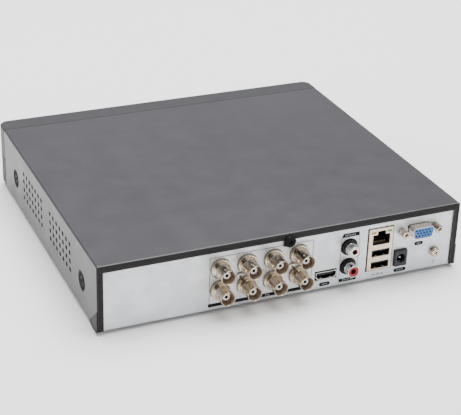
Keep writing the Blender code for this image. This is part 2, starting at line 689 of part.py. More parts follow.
def make_vga_socket():
    """A 15-way socket fixed to the panel by two hexagonal posts."""
    face = PANEL_BACK - GAP
    flange_back, nose = face - 0.8, 5.4
    flange = ((VGA_X - 15.4, flange_back, VGA_Z - 6.2), (VGA_X + 15.4, face, VGA_Z + 6.2))
    shell = piece("vga_shell", boxes(flange), "nickel")
    bm = bmesh.new()
    polygon_prism(bm, d_outline((VGA_X, VGA_Z), 16.3, 7.9), face - 0.4, nose)
    join(shell, bm)
    hollow = bmesh.new()
    polygon_prism(hollow, d_outline((VGA_X, VGA_Z), 15.5, 7.1, corner=1.0), flange_back - 1, nose + 1)
    for side in (-1, 1):
        x = VGA_X + side * VGA_POST_SPAN / 2
        add_cylinder(hollow, (x, flange_back - 1, VGA_Z), (x, 0, VGA_Z), 1.7, 10)
    cut(shell, hollow)
    body_front = flange_back - GAP
    body = ((VGA_X - 9.0, body_front - 7, VGA_Z - 5.4), (VGA_X + 9.0, body_front, VGA_Z + 5.4))
    insert = piece("vga_insert", boxes(body), "blue_plastic")
    bm = bmesh.new()
    polygon_prism(bm, d_outline((VGA_X, VGA_Z), 15.1, 6.7, corner=0.9), body_front - 1, nose - 0.3)
    join(insert, bm)
    pins = bmesh.new()
    for row, z in enumerate((1.98, 0.0, -1.98)):
        for column in range(5):
            x = VGA_X + (column - 2) * 2.29 + (-0.57 if row == 1 else 0.57)
            add_cylinder(pins, (x, nose - 5, VGA_Z + z), (x, nose + 1, VGA_Z + z), 0.55, 6)
    cut(insert, pins)
    post_seat = PANEL_Y + GAP
    profile = [(0, 5.3), (2.6, 5.3), (2.9, 5.0), (2.9, post_seat), (1.4, post_seat), (1.4, -9.0), (0, -9.0)]
    post = turned("vga_post", profile, "nickel", 6)
    bore = bmesh.new()
    add_cylinder(bore, (0, 0, 0.5), (0, 0, 7), 1.25, 8)
    cut(post, bore)
    mesh = finished_mesh(post)
    for side, label in ((1, "left"), (-1, "right")):
        at = (VGA_X + side * VGA_POST_SPAN / 2, 0, VGA_Z)
        put(f"vga_post_{label}", mesh, "nickel", at, TURN_TO_REAR)


def make_power_socket():
    """A square moulding with a round well and a centre pin."""
    face = 0.9
    low = (DC_X - DC_HALF[0], -12.2, DC_Z - DC_HALF[1])
    high = (DC_X + DC_HALF[0], face, DC_Z + DC_HALF[1])
    body = piece("dc_jack_body", boxes((low, high)), "black_plastic")
    well = bmesh.new()
    add_cylinder(well, (DC_X, -9.5, DC_Z), (DC_X, face + 1, DC_Z), 3.1, 16)
    cut(body, well)
    profile = [(0, -0.6), (0.7, -0.8), (1.0, -1.3), (1.0, -9.2), (0, -9.2)]
    turned("dc_jack_pin", profile, "nickel", 10, (DC_X, 0, DC_Z), TURN_TO_REAR)


def make_ground_terminal():
    """A screw and its captive washer for the earth wire. Each has its origin on the screw's axis."""
    washer_back = PANEL_Y + GAP
    washer_front = washer_back + 0.8
    at = (GROUND_X, 0, GROUND_Z)
    profile = [(2.2, washer_front), (3.6, washer_front), (3.6, washer_back), (2.2, washer_back)]
    turned("ground_washer", profile, "nickel", 16, at, TURN_TO_REAR)
    mesh = pan_screw("ground_screw_blank", 3.3, 2.0, 1.7, 7.0, "nickel")
    put("ground_screw", mesh, "nickel", (GROUND_X, washer_front + GAP, GROUND_Z), TURN_TO_REAR)


# ---- boards, disk and leads ----


def make_mainboard():
    """The circuit board with its soldered parts, and an upright riser that carries the 15-way socket."""
    low = (*BOARD_LOW, BOARD_BOTTOM)
    high = (*BOARD_HIGH, BOARD_TOP)
    board = piece("mainboard", boxes((low, high)), "board_green")
    sink = BOARD_TOP - 0.3
    soldered = [
        ((-20, -72, sink), (12, -40, 7.2)),  # processor under the heat sink
        ((-76, -84.5, sink), (-62, -78.5, 11.5)),  # disk data header
        ((-104, -84.5, sink), (-90, -78.5, 11.5)),  # disk power header
        ((34, -80, sink), (56, -58, 6.6)),  # coin cell holder
        ((-50, -60, sink), (-38, -48, 6.9)),  # memory
        ((-50, -44, sink), (-38, -32, 6.9)),  # memory
        ((-74, -66, sink), (-60, -52, 9.5)),  # network transformer
        ((VGA_X - 16, -14.2, sink), (VGA_X + 16, -12.6, VGA_Z + 7)),  # riser
    ]
    join(board, boxes(*soldered))
    cans = bmesh.new()
    for x, y in ((-84, -60), (-96, -60), (-108, -60), (22, -50), (22, -36)):
        add_cylinder(cans, (x, y, sink), (x, y, 16.0), 4.0, 12)
    join(board, cans)
    holes = bmesh.new()
    for x, y in standoff_spots():
        add_cylinder(holes, (x, y, 3), (x, y, 7), 1.6, 10)
    cut(board, holes)


def make_heat_sink():
    low, high = (-22, -74, 7.5), (14, -38, 10.5)
    sink = piece("heat_sink", boxes((low, high)), "aluminium")
    fins = []
    for number in range(9):
        x = low[0] + number * 4.35
        fins.append(((x, low[1] + 0.01, 10.0), (x + 1.2, high[1] - 0.01, 21.0)))
    join(sink, boxes(*fins))


def make_coin_cell():
    profile = [(0, 3.2), (7.6, 3.2), (7.6, 2.9), (9.7, 2.6), (10.0, 2.2), (10.0, 0), (0, 0)]
    turned("coin_cell", profile, "nickel", 16, (45, -69, 6.9))


def make_disk_drive():
    """A sealed disk drive: casting, lid, circuit board, one platter on its hub and the head arm."""
    low, high = (*DISK_LOW, DISK_FLOOR), (*DISK_HIGH, DISK_TOP)
    casting = piece("hdd_casting", boxes((low, high)), "aluminium")
    top = DISK_TOP + 1
    well = bmesh.new()
    add_cylinder(well, (*SPINDLE, CAVITY_FLOOR), (*SPINDLE, top), PLATTER_RADIUS + 1.3, 28)
    cut(casting, well)
    cut(casting, boxes(((-24, -202.5, CAVITY_FLOOR + 0.05), (34, -122, top))))
    cut(casting, boxes(((DISK_LOW[0] - 1, -178, DISK_FLOOR - 1), (-27, -135, 11.0))))
    lid_low = (DISK_LOW[0] + 0.5, DISK_LOW[1] + 0.5, DISK_TOP + GAP)
    lid_high = (DISK_HIGH[0] - 0.5, DISK_HIGH[1] - 0.5, DISK_TOP + GAP + 1.4)
    lid = piece("hdd_lid", boxes((lid_low, lid_high)), "aluminium")
    dome = bmesh.new()
    start, end = (*SPINDLE, lid_high[2] - 0.5), (*SPINDLE, lid_high[2] + 0.7)
    add_cylinder(dome, start, end, 44.0, 24, 43.0)
    join(lid, dome)
    piece("hdd_board", boxes(((-24, -199.0, 3.0), (66, -111.4, 4.6))), "board_green")
    z0, z1 = PLATTER_Z
    hub_floor = CAVITY_FLOOR + GAP
    profile = [(0, z1 + 2.4), (15.5, z1 + 2.4), (15.5, z1), (PLATTER_RADIUS, z1)]
    profile += [(PLATTER_RADIUS, z0), (12.5, z0), (12.5, hub_floor), (0, hub_floor)]
    turned("hdd_platter", profile, "aluminium", 28, (*SPINDLE, 0))
    make_disk_arm()


def make_disk_arm():
    """Head arm about its pivot: barrel, two tines over and under the platter and the coil paddle."""
    profile = [(0, 25.0), (6.5, 25.0), (6.5, CAVITY_FLOOR + GAP), (0, CAVITY_FLOOR + GAP)]
    arm = turned("hdd_arm", profile, "aluminium", 12, (*PIVOT, 0), (0, 0, ARM_PARKED))
    z0, z1 = PLATTER_Z
    blades = bmesh.new()
    for low, high in ((z0 - 1.5, z0 - 0.7), (z1 + 0.7, z1 + 1.5)):
        taper = add_box(blades, (0, -6, low), (ARM_LENGTH, 6, high))
        for vert in taper:
            if vert.co.x > 1:
                vert.co.y *= 0.22
    paddle = add_box(blades, (-17, -9, 14.5), (0, 9, 17.0))
    for vert in paddle:
        if vert.co.x > -1:
            vert.co.y *= 0.5
    join(arm, blades)


def smooth_route(points, step):
    """Points every few millimetres along a smooth curve through the given ones."""
    points = [Vector(p) for p in points]
    padded = [2 * points[0] - points[1], *points, 2 * points[-1] - points[-2]]
    route = []
    for a, b, c, d in zip(padded, padded[1:], padded[2:], padded[3:]):
        count = max(2, round((c - b).length / step))
        for i in range(count):
            t = i / count
            route.append(
                0.5 * (2 * b + (c - a) * t + (2 * a - 5 * b + 4 * c - d) * t**2 + (3 * b - a - 3 * c + d) * t**3)
            )
    return route + [points[-1]]


def make_lead(name, material, radius, points, plugs):
    """A lead between two plugs, made one solid with them."""
    curve = bpy.data.curves.new(name + "_route", "CURVE")
    curve.dimensions = "3D"
    curve.bevel_depth = radius * MM
    curve.bevel_resolution = 2
    curve.use_fill_caps = True
    spline = curve.splines.new("POLY")
    route = smooth_route(points, radius * 4)
    spline.points.add(len(route) - 1)
    for point, place in zip(spline.points, route):
        point.co = (*(place * MM), 1)
    tube = bpy.data.objects.new(name + "_tube", curve)
    PARTS.objects.link(tube)
    bpy.context.view_layer.update()
    mesh = bpy.data.meshes.new_from_object(tube.evaluated_get(bpy.context.evaluated_depsgraph_get()))
    bpy.data.objects.remove(tube)
    bm = bmesh.new()
    bm.from_mesh(mesh)
    bmesh.ops.remove_doubles(bm, verts=bm.verts, dist=1e-6)
    bm.to_mesh(mesh)
    bm.free()
    mesh.name = name
    mesh.materials.clear()
    lead = put(name, mesh, material)
    join(lead, boxes(*plugs))


def make_disk_leads():
    header_top = 11.5 + GAP
    data_points = [(-42, -143, 7.6), (-52, -143, 7.6), (-62, -136, 10), (-68, -112, 22), (-69, -92, 29)]
    data_points += [(-69, -82.5, 25), (-69, -81.5, 16)]
    data_plugs = [((-46, -149.5, 5.2), (-28, -136.5, 10.0)), ((-75, -84, header_top), (-63, -79, 18.5))]
    make_lead("sata_data_lead", "cable_red", 1.6, data_points, data_plugs)
    power_points = [(-42, -164, 7.6), (-54, -164, 7.6), (-72, -158, 10), (-90, -128, 22), (-96, -96, 29)]
    power_points += [(-97, -83, 25), (-97, -81.5, 16)]
    power_plugs = [((-46, -174.5, 5.2), (-28, -153.5, 10.0)), ((-103, -84, header_top), (-91, -79, 18.5))]
    make_lead("disk_power_lead", "cable_black", 2.0, power_points, power_plugs)


def main():
    make_chassis_tray()
    make_top_cover()
    make_front_bezel()
    make_front_window()
    make_status_board()
    make_feet()
    make_cover_screws()
    make_video_sockets()
    make_hdmi_socket()
    make_audio_sockets()
    make_network_and_usb()
    make_vga_socket()
    make_power_socket()
    make_ground_terminal()
    make_mainboard()
    make_heat_sink()
    make_coin_cell()
    make_disk_drive()
    make_disk_leads()


main()
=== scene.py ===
"""Looks of a slim eight-input video recorder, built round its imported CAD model.

Shapes are written in case millimetres: x across the case, y from the rear lip of the cover (rear is +), z up
from the underside of the case. CASE turns them into the model's own frame.
"""

import json
import math

import bmesh
import bpy
from mathutils import Matrix, Vector


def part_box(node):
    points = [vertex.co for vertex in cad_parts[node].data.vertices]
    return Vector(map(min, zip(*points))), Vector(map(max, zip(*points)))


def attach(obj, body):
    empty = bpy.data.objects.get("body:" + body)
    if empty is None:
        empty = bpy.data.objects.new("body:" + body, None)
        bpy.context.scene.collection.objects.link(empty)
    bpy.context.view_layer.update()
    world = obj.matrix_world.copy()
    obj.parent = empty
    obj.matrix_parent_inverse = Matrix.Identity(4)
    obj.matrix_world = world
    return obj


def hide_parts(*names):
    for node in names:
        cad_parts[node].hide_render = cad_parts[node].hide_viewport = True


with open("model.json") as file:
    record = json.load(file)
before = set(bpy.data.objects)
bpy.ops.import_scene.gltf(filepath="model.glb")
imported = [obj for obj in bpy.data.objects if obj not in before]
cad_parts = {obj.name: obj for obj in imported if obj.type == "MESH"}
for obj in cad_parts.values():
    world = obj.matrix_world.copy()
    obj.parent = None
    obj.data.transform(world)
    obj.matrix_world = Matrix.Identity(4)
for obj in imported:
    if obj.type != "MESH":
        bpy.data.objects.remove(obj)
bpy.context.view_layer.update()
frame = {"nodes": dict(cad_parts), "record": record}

MM = 0.001
COVER_LOW, COVER_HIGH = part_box("top_cover")
CASE = Matrix.Translation((0, COVER_HIGH.y, COVER_LOW.z)) @ Matrix.Scale(MM, 4)
TO_CASE = CASE.inverted()
BODY = "recorder"
TURN_TO_REAR = Matrix.Rotation(-math.pi / 2, 4, "X")
EDGE_ANGLE = math.radians(32)


def node_box(name):
    """A CAD node's corners in case millimetres."""
    low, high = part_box(name)
    return TO_CASE @ low, TO_CASE @ high


def node_middle(name):
    low, high = node_box(name)
    return (low + high) / 2


# ---- materials ----


class Tree:
    """The nodes of a material or of the world."""

    def __init__(self, owner):
        owner.use_nodes = True
        self.nodes = owner.node_tree.nodes
        self.links = owner.node_tree.links

    def add(self, kind, settings=None, **inputs):
        node = self.nodes.new(kind)
        for key, value in (settings or {}).items():
            setattr(node, key, value)
        for key, value in inputs.items():
            self.feed(node.inputs[key.replace("_", " ")], value)
        return node

    def feed(self, socket, value):
        if isinstance(value, bpy.types.NodeSocket):
            self.links.new(value, socket)
        else:
            socket.default_value = value

    def ramp(self, value, low, high, from_low=0.3, from_high=0.7, **settings):
        ends = {"From_Min": from_low, "From_Max": from_high, "To_Min": low, "To_Max": high}
        return self.add("ShaderNodeMapRange", settings, Value=value, **ends).outputs["Result"]

    def along(self, vector, axis):
        """How far a direction points along an axis, from -1 to 1."""
        node = self.add("ShaderNodeVectorMath", {"operation": "DOT_PRODUCT"})
        self.feed(node.inputs[0], vector)
        self.feed(node.inputs[1], Vector(axis).normalized())
        return node.outputs["Value"]


class Nodes(Tree):
    """Short names for the nodes that the materials are made from."""

    def __init__(self, name):
        self.material = bpy.data.materials.new(name)
        super().__init__(self.material)
        self.shader = self.nodes["Principled BSDF"]
        self.coordinates = self.add("ShaderNodeTexCoord").outputs["Object"]

    def noise(self, scale, detail=3.0):
        node = self.add("ShaderNodeTexNoise", Vector=self.coordinates, Scale=scale, Detail=detail)
        return node.outputs["Fac"]

    def cells(self, scale, stretch):
        """A cell pattern, with the object's coordinates stretched along its axes."""
        mapping = self.add("ShaderNodeMapping", Vector=self.coordinates, Scale=stretch)
        return self.add("ShaderNodeTexVoronoi", Vector=mapping.outputs["Vector"], Scale=scale)

    def blend(self, factor, first, second):
        node = self.add("ShaderNodeMix", {"data_type": "RGBA"})
        for index, value in ((0, factor), (6, first), (7, second)):
            self.feed(node.inputs[index], value)
        return node.outputs[2]

    def total(self, first, second):
        node = self.add("ShaderNodeMath", {"operation": "ADD", "use_clamp": True})
        self.feed(node.inputs[0], first)
        self.feed(node.inputs[1], second)
        return node.outputs[0]

    def bump(self, height, distance, strength=1.0):
        node = self.add("ShaderNodeBump", Height=height, Distance=distance, Strength=strength)
        self.feed(self.shader.inputs["Normal"], node.outputs["Normal"])

    def finish(self, colour, roughness, metallic=0.0, **more):
        self.feed(self.shader.inputs["Base Color"], colour)
        self.feed(self.shader.inputs["Roughness"], roughness)
        self.feed(self.shader.inputs["Metallic"], metallic)
        for key, value in more.items():
            self.feed(self.shader.inputs[key.replace("_", " ")], value)
        return self.material


def rgb(r, g, b):
    return (r, g, b, 1.0)


def moulded(name, colour, roughness=0.5, grain=2600, depth=0.00002, spread=0.12, **more):
    """Moulded plastic or rubber: a fine texture, with the colour a little uneven."""
    n = Nodes(name)
    darker = rgb(*(c * (1 - spread) for c in colour))
    lighter = rgb(*(min(1, c * (1 + spread)) for c in colour))
    shade = n.blend(n.ramp(n.noise(90, 4), 0, 1), darker, lighter)
    n.bump(n.noise(grain, 3), depth)
    rough = n.ramp(n.noise(300, 3), roughness - 0.04, roughness + 0.06)
    return n.finish(shade, rough, 0.0, **more)


def metal(name, colour, roughness=0.25, spread=0.12, stain=None):
    """Plated or turned metal: tool marks, slightly uneven polish and stains."""
    n = Nodes(name)
    darker = rgb(*(c * (1 - spread) for c in (stain or colour)))
    lighter = rgb(*(min(1, c * (1 + spread)) for c in colour))
    shade = n.blend(n.ramp(n.noise(260, 4), 0, 1), darker, lighter)
    n.bump(n.noise(1400, 2), 0.000003)
    rough = n.ramp(n.noise(420, 4), roughness - 0.06, roughness + 0.1)
    return n.finish(shade, rough, 1.0)


def cover_paint(name, dark, light, roughness, specular):
    """Satin case paint with a fine leathery grain."""
    n = Nodes(name)
    shade = n.blend(n.ramp(n.noise(16, 5), 0, 1), rgb(*dark), rgb(*light))
    grain = n.total(n.ramp(n.noise(1900, 2), 0, 0.6), n.ramp(n.noise(700, 3), 0, 0.4))
    n.bump(grain, 0.000022, 0.6)
    rough = n.ramp(n.noise(60, 4), roughness - 0.03, roughness + 0.04)
    return n.finish(shade, rough, 0.0, Specular_IOR_Level=specular)


def bezel_plastic():
    """Matt dark plastic with a fine moulded texture."""
    n = Nodes("matt_bezel")
    shade = n.blend(n.ramp(n.noise(120, 4), 0, 1), rgb(0.024, 0.024, 0.028), rgb(0.030, 0.030, 0.034))
    n.bump(n.noise(2300, 2), 0.00002, 0.7)
    return n.finish(shade, 0.5, 0.0, Specular_IOR_Level=0.35)


def zinc_sheet():
    """Galvanised sheet: pale blue-grey spangle with cloudy patches."""
    n = Nodes("galvanised_sheet")
    spangle = n.cells(170, stretch=(1, 1, 1.3))
    tone = n.add("ShaderNodeSeparateXYZ", Vector=spangle.outputs["Color"]).outputs["X"]
    cloud = n.ramp(n.noise(45, 5), 0, 1)
    light = n.blend(cloud, rgb(0.60, 0.615, 0.635), rgb(0.70, 0.715, 0.735))
    dull = n.blend(cloud, rgb(0.50, 0.52, 0.545), rgb(0.62, 0.635, 0.66))
    shade = n.blend(n.ramp(tone, 0, 0.55, 0, 1), light, dull)
    n.bump(n.noise(800, 4), 0.000012, 0.6)
    rough = n.total(n.ramp(tone, 0.34, 0.46, 0, 1), n.ramp(cloud, 0.0, 0.08, 0, 1))
    return n.finish(shade, rough, 0.75)


def board_mask():
    """Green solder mask with paler tracks under it."""
    n = Nodes("solder_mask")
    tracks = n.cells(420, stretch=(1, 0.35, 1))
    line = n.ramp(tracks.outputs["Distance"], 1, 0, 0.1, 0.32)
    ground = n.blend(n.ramp(n.noise(70, 3), 0, 1), rgb(0.004, 0.07, 0.028), rgb(0.008, 0.095, 0.038))
    shade = n.blend(line, ground, rgb(0.02, 0.17, 0.06))
    n.bump(line, 0.00003, 0.5)
    return n.finish(shade, n.ramp(n.noise(200, 3), 0.28, 0.38), 0.0, Coat_Weight=0.3)


PAINT = cover_paint("satin_case_paint", (0.026, 0.025, 0.031), (0.031, 0.030, 0.036), 0.34, 0.6)
# A darker, less shiny copy of the case paint. On the rear-facing lips it is painted shade; on the bezel's
# lower part it is that part's black finish.
LIP_SHADE_AND_BEZEL_BLACK = cover_paint("lip_painted_shade_and_bezel_black", (0.011, 0.0095, 0.0095), (0.015, 0.0135, 0.0135), 0.5, 0.2)
# A darker copy of the case paint: painted shade in the pressed screw dimples, and the darker colour of the
# doubled rear corners.
DIMPLE_SHADE_AND_DARK_CORNER = cover_paint("dimple_shade_and_dark_corner", (0.014, 0.0135, 0.014), (0.018, 0.0175, 0.018), 0.5, 0.25)
BEZEL = bezel_plastic()
ZINC = zinc_sheet()
MASK = board_mask()
NICKEL = metal("nickel_plate", (0.60, 0.515, 0.405), 0.14, 0.05, stain=(0.52, 0.44, 0.335))
# A rougher, paler copy of the plating for the inside of the shells; the paler colour is painted light that
# brightens the bore.
NICKEL_BORE_LIT = metal("nickel_bore_painted_light", (0.72, 0.62, 0.53), 0.45, 0.06, stain=(0.60, 0.50, 0.41))
BRIGHT = metal("bright_plate", (0.72, 0.715, 0.70), 0.2, 0.08, stain=(0.5, 0.49, 0.47))
STEEL_CAN = metal("tinned_can", (0.70, 0.575, 0.465), 0.34, 0.05, stain=(0.63, 0.51, 0.40))
GOLD = metal("gold_contact", (0.86, 0.62, 0.25), 0.22, 0.08)
BLACK_ZINC = moulded("black_zinc", (0.006, 0.006, 0.007), 0.5, Specular_IOR_Level=0.12)
ALUMINIUM = metal("cast_aluminium", (0.62, 0.63, 0.65), 0.38, 0.08)
POLISHED = metal("polished_disk", (0.78, 0.78, 0.8), 0.06, 0.03)
VGA_PLATE = metal("warm_nickel", (0.70, 0.66, 0.60), 0.22, 0.05, stain=(0.62, 0.57, 0.50))
# Darker blue for the pin holes of the 15-way insert: painted shade inside the holes.
BLUE_HOLE_SHADE = moulded("blue_hole_painted_shade", (0.006, 0.03, 0.11), 0.5)
JACK_PLASTIC = moulded("grey_black_moulding", (0.02, 0.02, 0.023), 0.4, Specular_IOR_Level=0.35)
BLACK_PLASTIC = moulded("black_moulding", (0.010, 0.010, 0.011), 0.4, Specular_IOR_Level=0.3)
INK = moulded("black_ink", (0.008, 0.0075, 0.008), 0.6, spread=0.25, Specular_IOR_Level=0.12)
PALE_INK = moulded("pale_ink", (0.42, 0.43, 0.44), 0.6, spread=0.05)
GREY_INK = moulded("grey_ink", (0.13, 0.13, 0.15), 0.6, spread=0.08, Specular_IOR_Level=0.2)
WHITE_PLASTIC = moulded("white_moulding", (0.80, 0.77, 0.71), 0.36, spread=0.05)
RED_PLASTIC = moulded("red_moulding", (0.34, 0.007, 0.006), 0.34)
# Darker colours for the holes of the phono insulators: painted shade inside the holes.
RED_JACK_BORE_SHADE = moulded("red_jack_bore_painted_shade", (0.16, 0.004, 0.004), 0.45)
WHITE_JACK_BORE_SHADE = moulded("white_jack_bore_painted_shade", (0.13, 0.006, 0.014), 0.5)
BLUE_PLASTIC = moulded("blue_moulding", (0.016, 0.135, 0.40), 0.36, spread=0.06)
RUBBER = moulded("foot_rubber", (0.02, 0.02, 0.021), 0.8, 1500, 0.00004)
SMOKED = moulded("smoked_window", (0.003, 0.003, 0.004), 0.07, spread=0.05, Specular_IOR_Level=0.4)
AMBER_LENS = moulded("amber_lens", (0.36, 0.30, 0.07), 0.25, spread=0.05)
GREEN_LENS = moulded("green_lens", (0.17, 0.29, 0.11), 0.25, spread=0.05)
RED_CABLE = moulded("red_jacket", (0.36, 0.012, 0.012), 0.4)
CHIP = moulded("chip_resin", (0.018, 0.018, 0.02), 0.55)
CERAMIC = moulded("ceramic_parts", (0.42, 0.33, 0.22), 0.5)
BLACK_CABLE = moulded("black_jacket", (0.018, 0.018, 0.018), 0.45)
LABEL = moulded("label_stock", (0.74, 0.74, 0.72), 0.45, spread=0.03)


# ---- shapes ----


def box(bm, low, high, radius=0.0, segments=2):
    """A box with rounded edges."""
    low, high = Vector(low), Vector(high)
    matrix = Matrix.Translation((low + high) / 2) @ Matrix.Diagonal((*(high - low), 1))
    verts = bmesh.ops.create_cube(bm, size=1, matrix=matrix)["verts"]
    if radius:
        edges = list({e for v in verts for e in v.link_edges})
        bmesh.ops.bevel(bm, geom=edges, offset=radius, segments=segments, profile=0.5, affect="EDGES")
    return verts


def lathe(bm, profile, matrix=Matrix.Identity(4), segments=40):
    """Turns (radius, z) points, listed from the top down the outer side, about the matrix's z axis.
    A profile that starts off the axis closes on itself as a ring."""
    ring = profile[0][0] > 0
    rows = []
    for radius, z in profile:
        if radius == 0:
            rows.append([bm.verts.new(matrix @ Vector((0, 0, z)))] * segments)
            continue
        turns = [i / segments * math.tau for i in range(segments)]
        circle = [Vector((radius * math.cos(t), radius * math.sin(t), z)) for t in turns]
        rows.append([bm.verts.new(matrix @ point) for point in circle])
    pairs = list(zip(rows, rows[1:])) + ([(rows[-1], rows[0])] if ring else [])
    for upper, lower in pairs:
        for i in range(segments):
            j = (i + 1) % segments
            corners = []
            for vert in (upper[i], lower[i], lower[j], upper[j]):
                if vert not in corners:
                    corners.append(vert)
            if len(corners) > 2:
                bm.faces.new(corners)


def stitch(bm, first, last):
    """Faces between two closed rings that have the same number of points."""
    return [bm.faces.new((first[i], first[i - 1], last[i - 1], last[i])) for i in range(len(first))]


def loft(bm, outline, rows):
    """A solid along y from an (x, z) outline. Each row is (y, how far the points move to the middle)."""
    middle = sum((Vector(p) for p in outline), Vector((0, 0))) / len(outline)
    sections = []
    for y, shrink in rows:
        points = [Vector(p) + (middle - Vector(p)).normalized() * shrink for p in outline]
        sections.append([bm.verts.new((p.x, y, p.y)) for p in points])
    faces = [bm.faces.new(sections[0]), bm.faces.new(list(reversed(sections[-1])))]
    for first, last in zip(sections, sections[1:]):
        faces += stitch(bm, first, last)
    bmesh.ops.recalc_face_normals(bm, faces=faces)


def prism(bm, outline, start, end):
    loft(bm, outline, [(start, 0), (end, 0)])


def tube_frame(bm, outer, inner, start, end):
    """A wall between two outlines with the same number of points, from y = start to y = end."""
    sides = ((outer, start), (outer, end), (inner, end), (inner, start))
    rings = [[bm.verts.new((x, y, z)) for x, z in points] for points, y in sides]
    faces = []
    for first, last in zip(rings, rings[1:] + rings[:1]):
        faces += stitch(bm, first, last)
    bmesh.ops.recalc_face_normals(bm, faces=faces)


def rounded_outline(low, high, radius, steps=4):
    """An (x, z) rectangle with round corners."""
    (x0, z0), (x1, z1) = low, high
    corners = [(x1 - radius, z1 - radius, 0), (x0 + radius, z1 - radius, 1)]
    corners += [(x0 + radius, z0 + radius, 2), (x1 - radius, z0 + radius, 3)]
    points = []
    for x, z, quarter in corners:
        for i in range(steps + 1):
            t = (quarter + i / steps) * math.pi / 2
            points.append((x + radius * math.cos(t), z + radius * math.sin(t)))
    return points


def disc_outline(x, z, radius, steps=24):
    turns = [i / steps * math.tau for i in range(steps)]
    return [(x + radius * math.cos(t), z + radius * math.sin(t)) for t in turns]


def arc_angles(start, end, steps):
    return [math.radians(start + (end - start) * i / steps) for i in range(steps + 1)]


def mark_edges(bm, angle=EDGE_ANGLE):
    """Smooth shading with sharp creases."""
    for face in bm.faces:
        face.smooth = True
    for edge in bm.edges:
        edge.smooth = len(edge.link_faces) == 2 and edge.calc_face_angle(0) < angle


def mesh_object(bm, name="shape"):
    """An object from a bmesh. Shapes that modifiers still work on are in case millimetres."""
    mesh = bpy.data.meshes.new(name)
    bm.to_mesh(mesh)
    bm.free()
    obj = bpy.data.objects.new(name, mesh)
    bpy.context.scene.collection.objects.link(obj)
    return obj


def block(low, high, radius, segments=2):
    """A box as an object, to be cut and joined."""
    bm = bmesh.new()
    box(bm, low, high, radius, segments)
    return mesh_object(bm)


def carve(obj, *tools, operation="DIFFERENCE"):
    """Cuts or joins meshes, one after another, and applies the result."""
    for tool_bm in tools:
        bmesh.ops.recalc_face_normals(tool_bm, faces=tool_bm.faces)
        tool = mesh_object(tool_bm)
        modifier = obj.modifiers.new("carve", "BOOLEAN")
        modifier.operation = operation
        modifier.solver = "EXACT"
        modifier.object = tool
        apply_modifiers(obj)
        bpy.data.objects.remove(tool)


def join(obj, *tools):
    carve(obj, *tools, operation="UNION")


def apply_modifiers(obj):
    bpy.context.view_layer.update()
    evaluated = obj.evaluated_get(bpy.context.evaluated_depsgraph_get())
    mesh = bpy.data.meshes.new_from_object(evaluated)
    obj.modifiers.clear()
    obj.data = mesh


def thicken(obj, thickness):
    """Gives a skin its wall, inwards."""
    wall = obj.modifiers.new("wall", "SOLIDIFY")
    wall.thickness = thickness
    wall.offset = -1
    wall.use_even_offset = True
    apply_modifiers(obj)


def bm_of(obj):
    """Takes an object's mesh back into a bmesh and removes the object."""
    bm = bmesh.new()
    bm.from_mesh(obj.data)
    bpy.data.objects.remove(obj)
    return bm


def piece(name, bm, material, replaces=(), body=BODY, weighted=False, where=CASE, angle=EDGE_ANGLE):
    """Places a finished mesh on a CAD body."""
    bmesh.ops.transform(bm, matrix=where, verts=bm.verts)
    mark_edges(bm, angle)
    obj = mesh_object(bm, name)
    obj.data.materials.append(material)
    if weighted:
        normals = obj.modifiers.new("flat_faces_first", "WEIGHTED_NORMAL")
        normals.keep_sharp = True
        normals.weight = 80
    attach(obj, body)
    if replaces:
        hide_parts(*replaces)
    return obj


def turned(name, profile, at, segments, material, replaces=(), body=BODY):
    """A lathe-turned piece."""
    bm = bmesh.new()
    lathe(bm, profile, at, segments)
    return piece(name, bm, material, replaces, body)


def strips(name, parts, material, radius, segments=1):
    """Boxes that share one finish, given by their corners."""
    bm = bmesh.new()
    for low, high in parts:
        box(bm, low, high, radius, segments)
    return piece(name, bm, material)


def second_material(obj, material, chosen):
    """Gives the faces that chosen() picks, by centre and direction in case millimetres, another material."""
    obj.data.materials.append(material)
    index = len(obj.data.materials) - 1
    for face in obj.data.polygons:
        if chosen(TO_CASE @ face.center, face.normal):
            face.material_index = index


def around(middle, radius, behind=math.inf):
    """Chooses the faces near an axis that runs through the panel."""
    return lambda c, n: c.y < behind and math.hypot(c.x - middle.x, c.z - middle.z) < radius


def rear_matrix(middle, y=0.0):
    """A place on the connector side, with local z pointing out of the back."""
    return Matrix.Translation((middle.x, y, middle.z)) @ TURN_TO_REAR


# ---- case ----

HALF = COVER_HIGH.x / MM
HEIGHT = (COVER_HIGH.z - COVER_LOW.z) / MM
COVER_FRONT = node_box("top_cover")[0].y
SHEET = 1.0
LIP_SIDE, LIP_TOP = 4.0, 4.5
SIDE_SCREWS = {n: node_middle(n) for n in frame["nodes"] if n.startswith("side_screw_")}
DIMPLE_YS = sorted({round(v.y, 1) for v in SIDE_SCREWS.values()})
DIMPLE_Z = next(iter(SIDE_SCREWS.values())).z
VENT_COLUMNS = [start + i * 7.35 for start in (-164.9, -99.9) for i in range(7)]
VENT_ROWS = [15.0 + i * 6.13 for i in range(4)]
VENT_RADIUS = 1.8
REAR_SCREW = node_middle("rear_cover_screw")
GROOVE_NEAR, GROOVE_FAR, GROOVE_CUT = 1.9, 2.25, 0.3  # from the lip's outer edge, and how deep
PLATE_FRONT = -17  # the corner plates lie behind this line


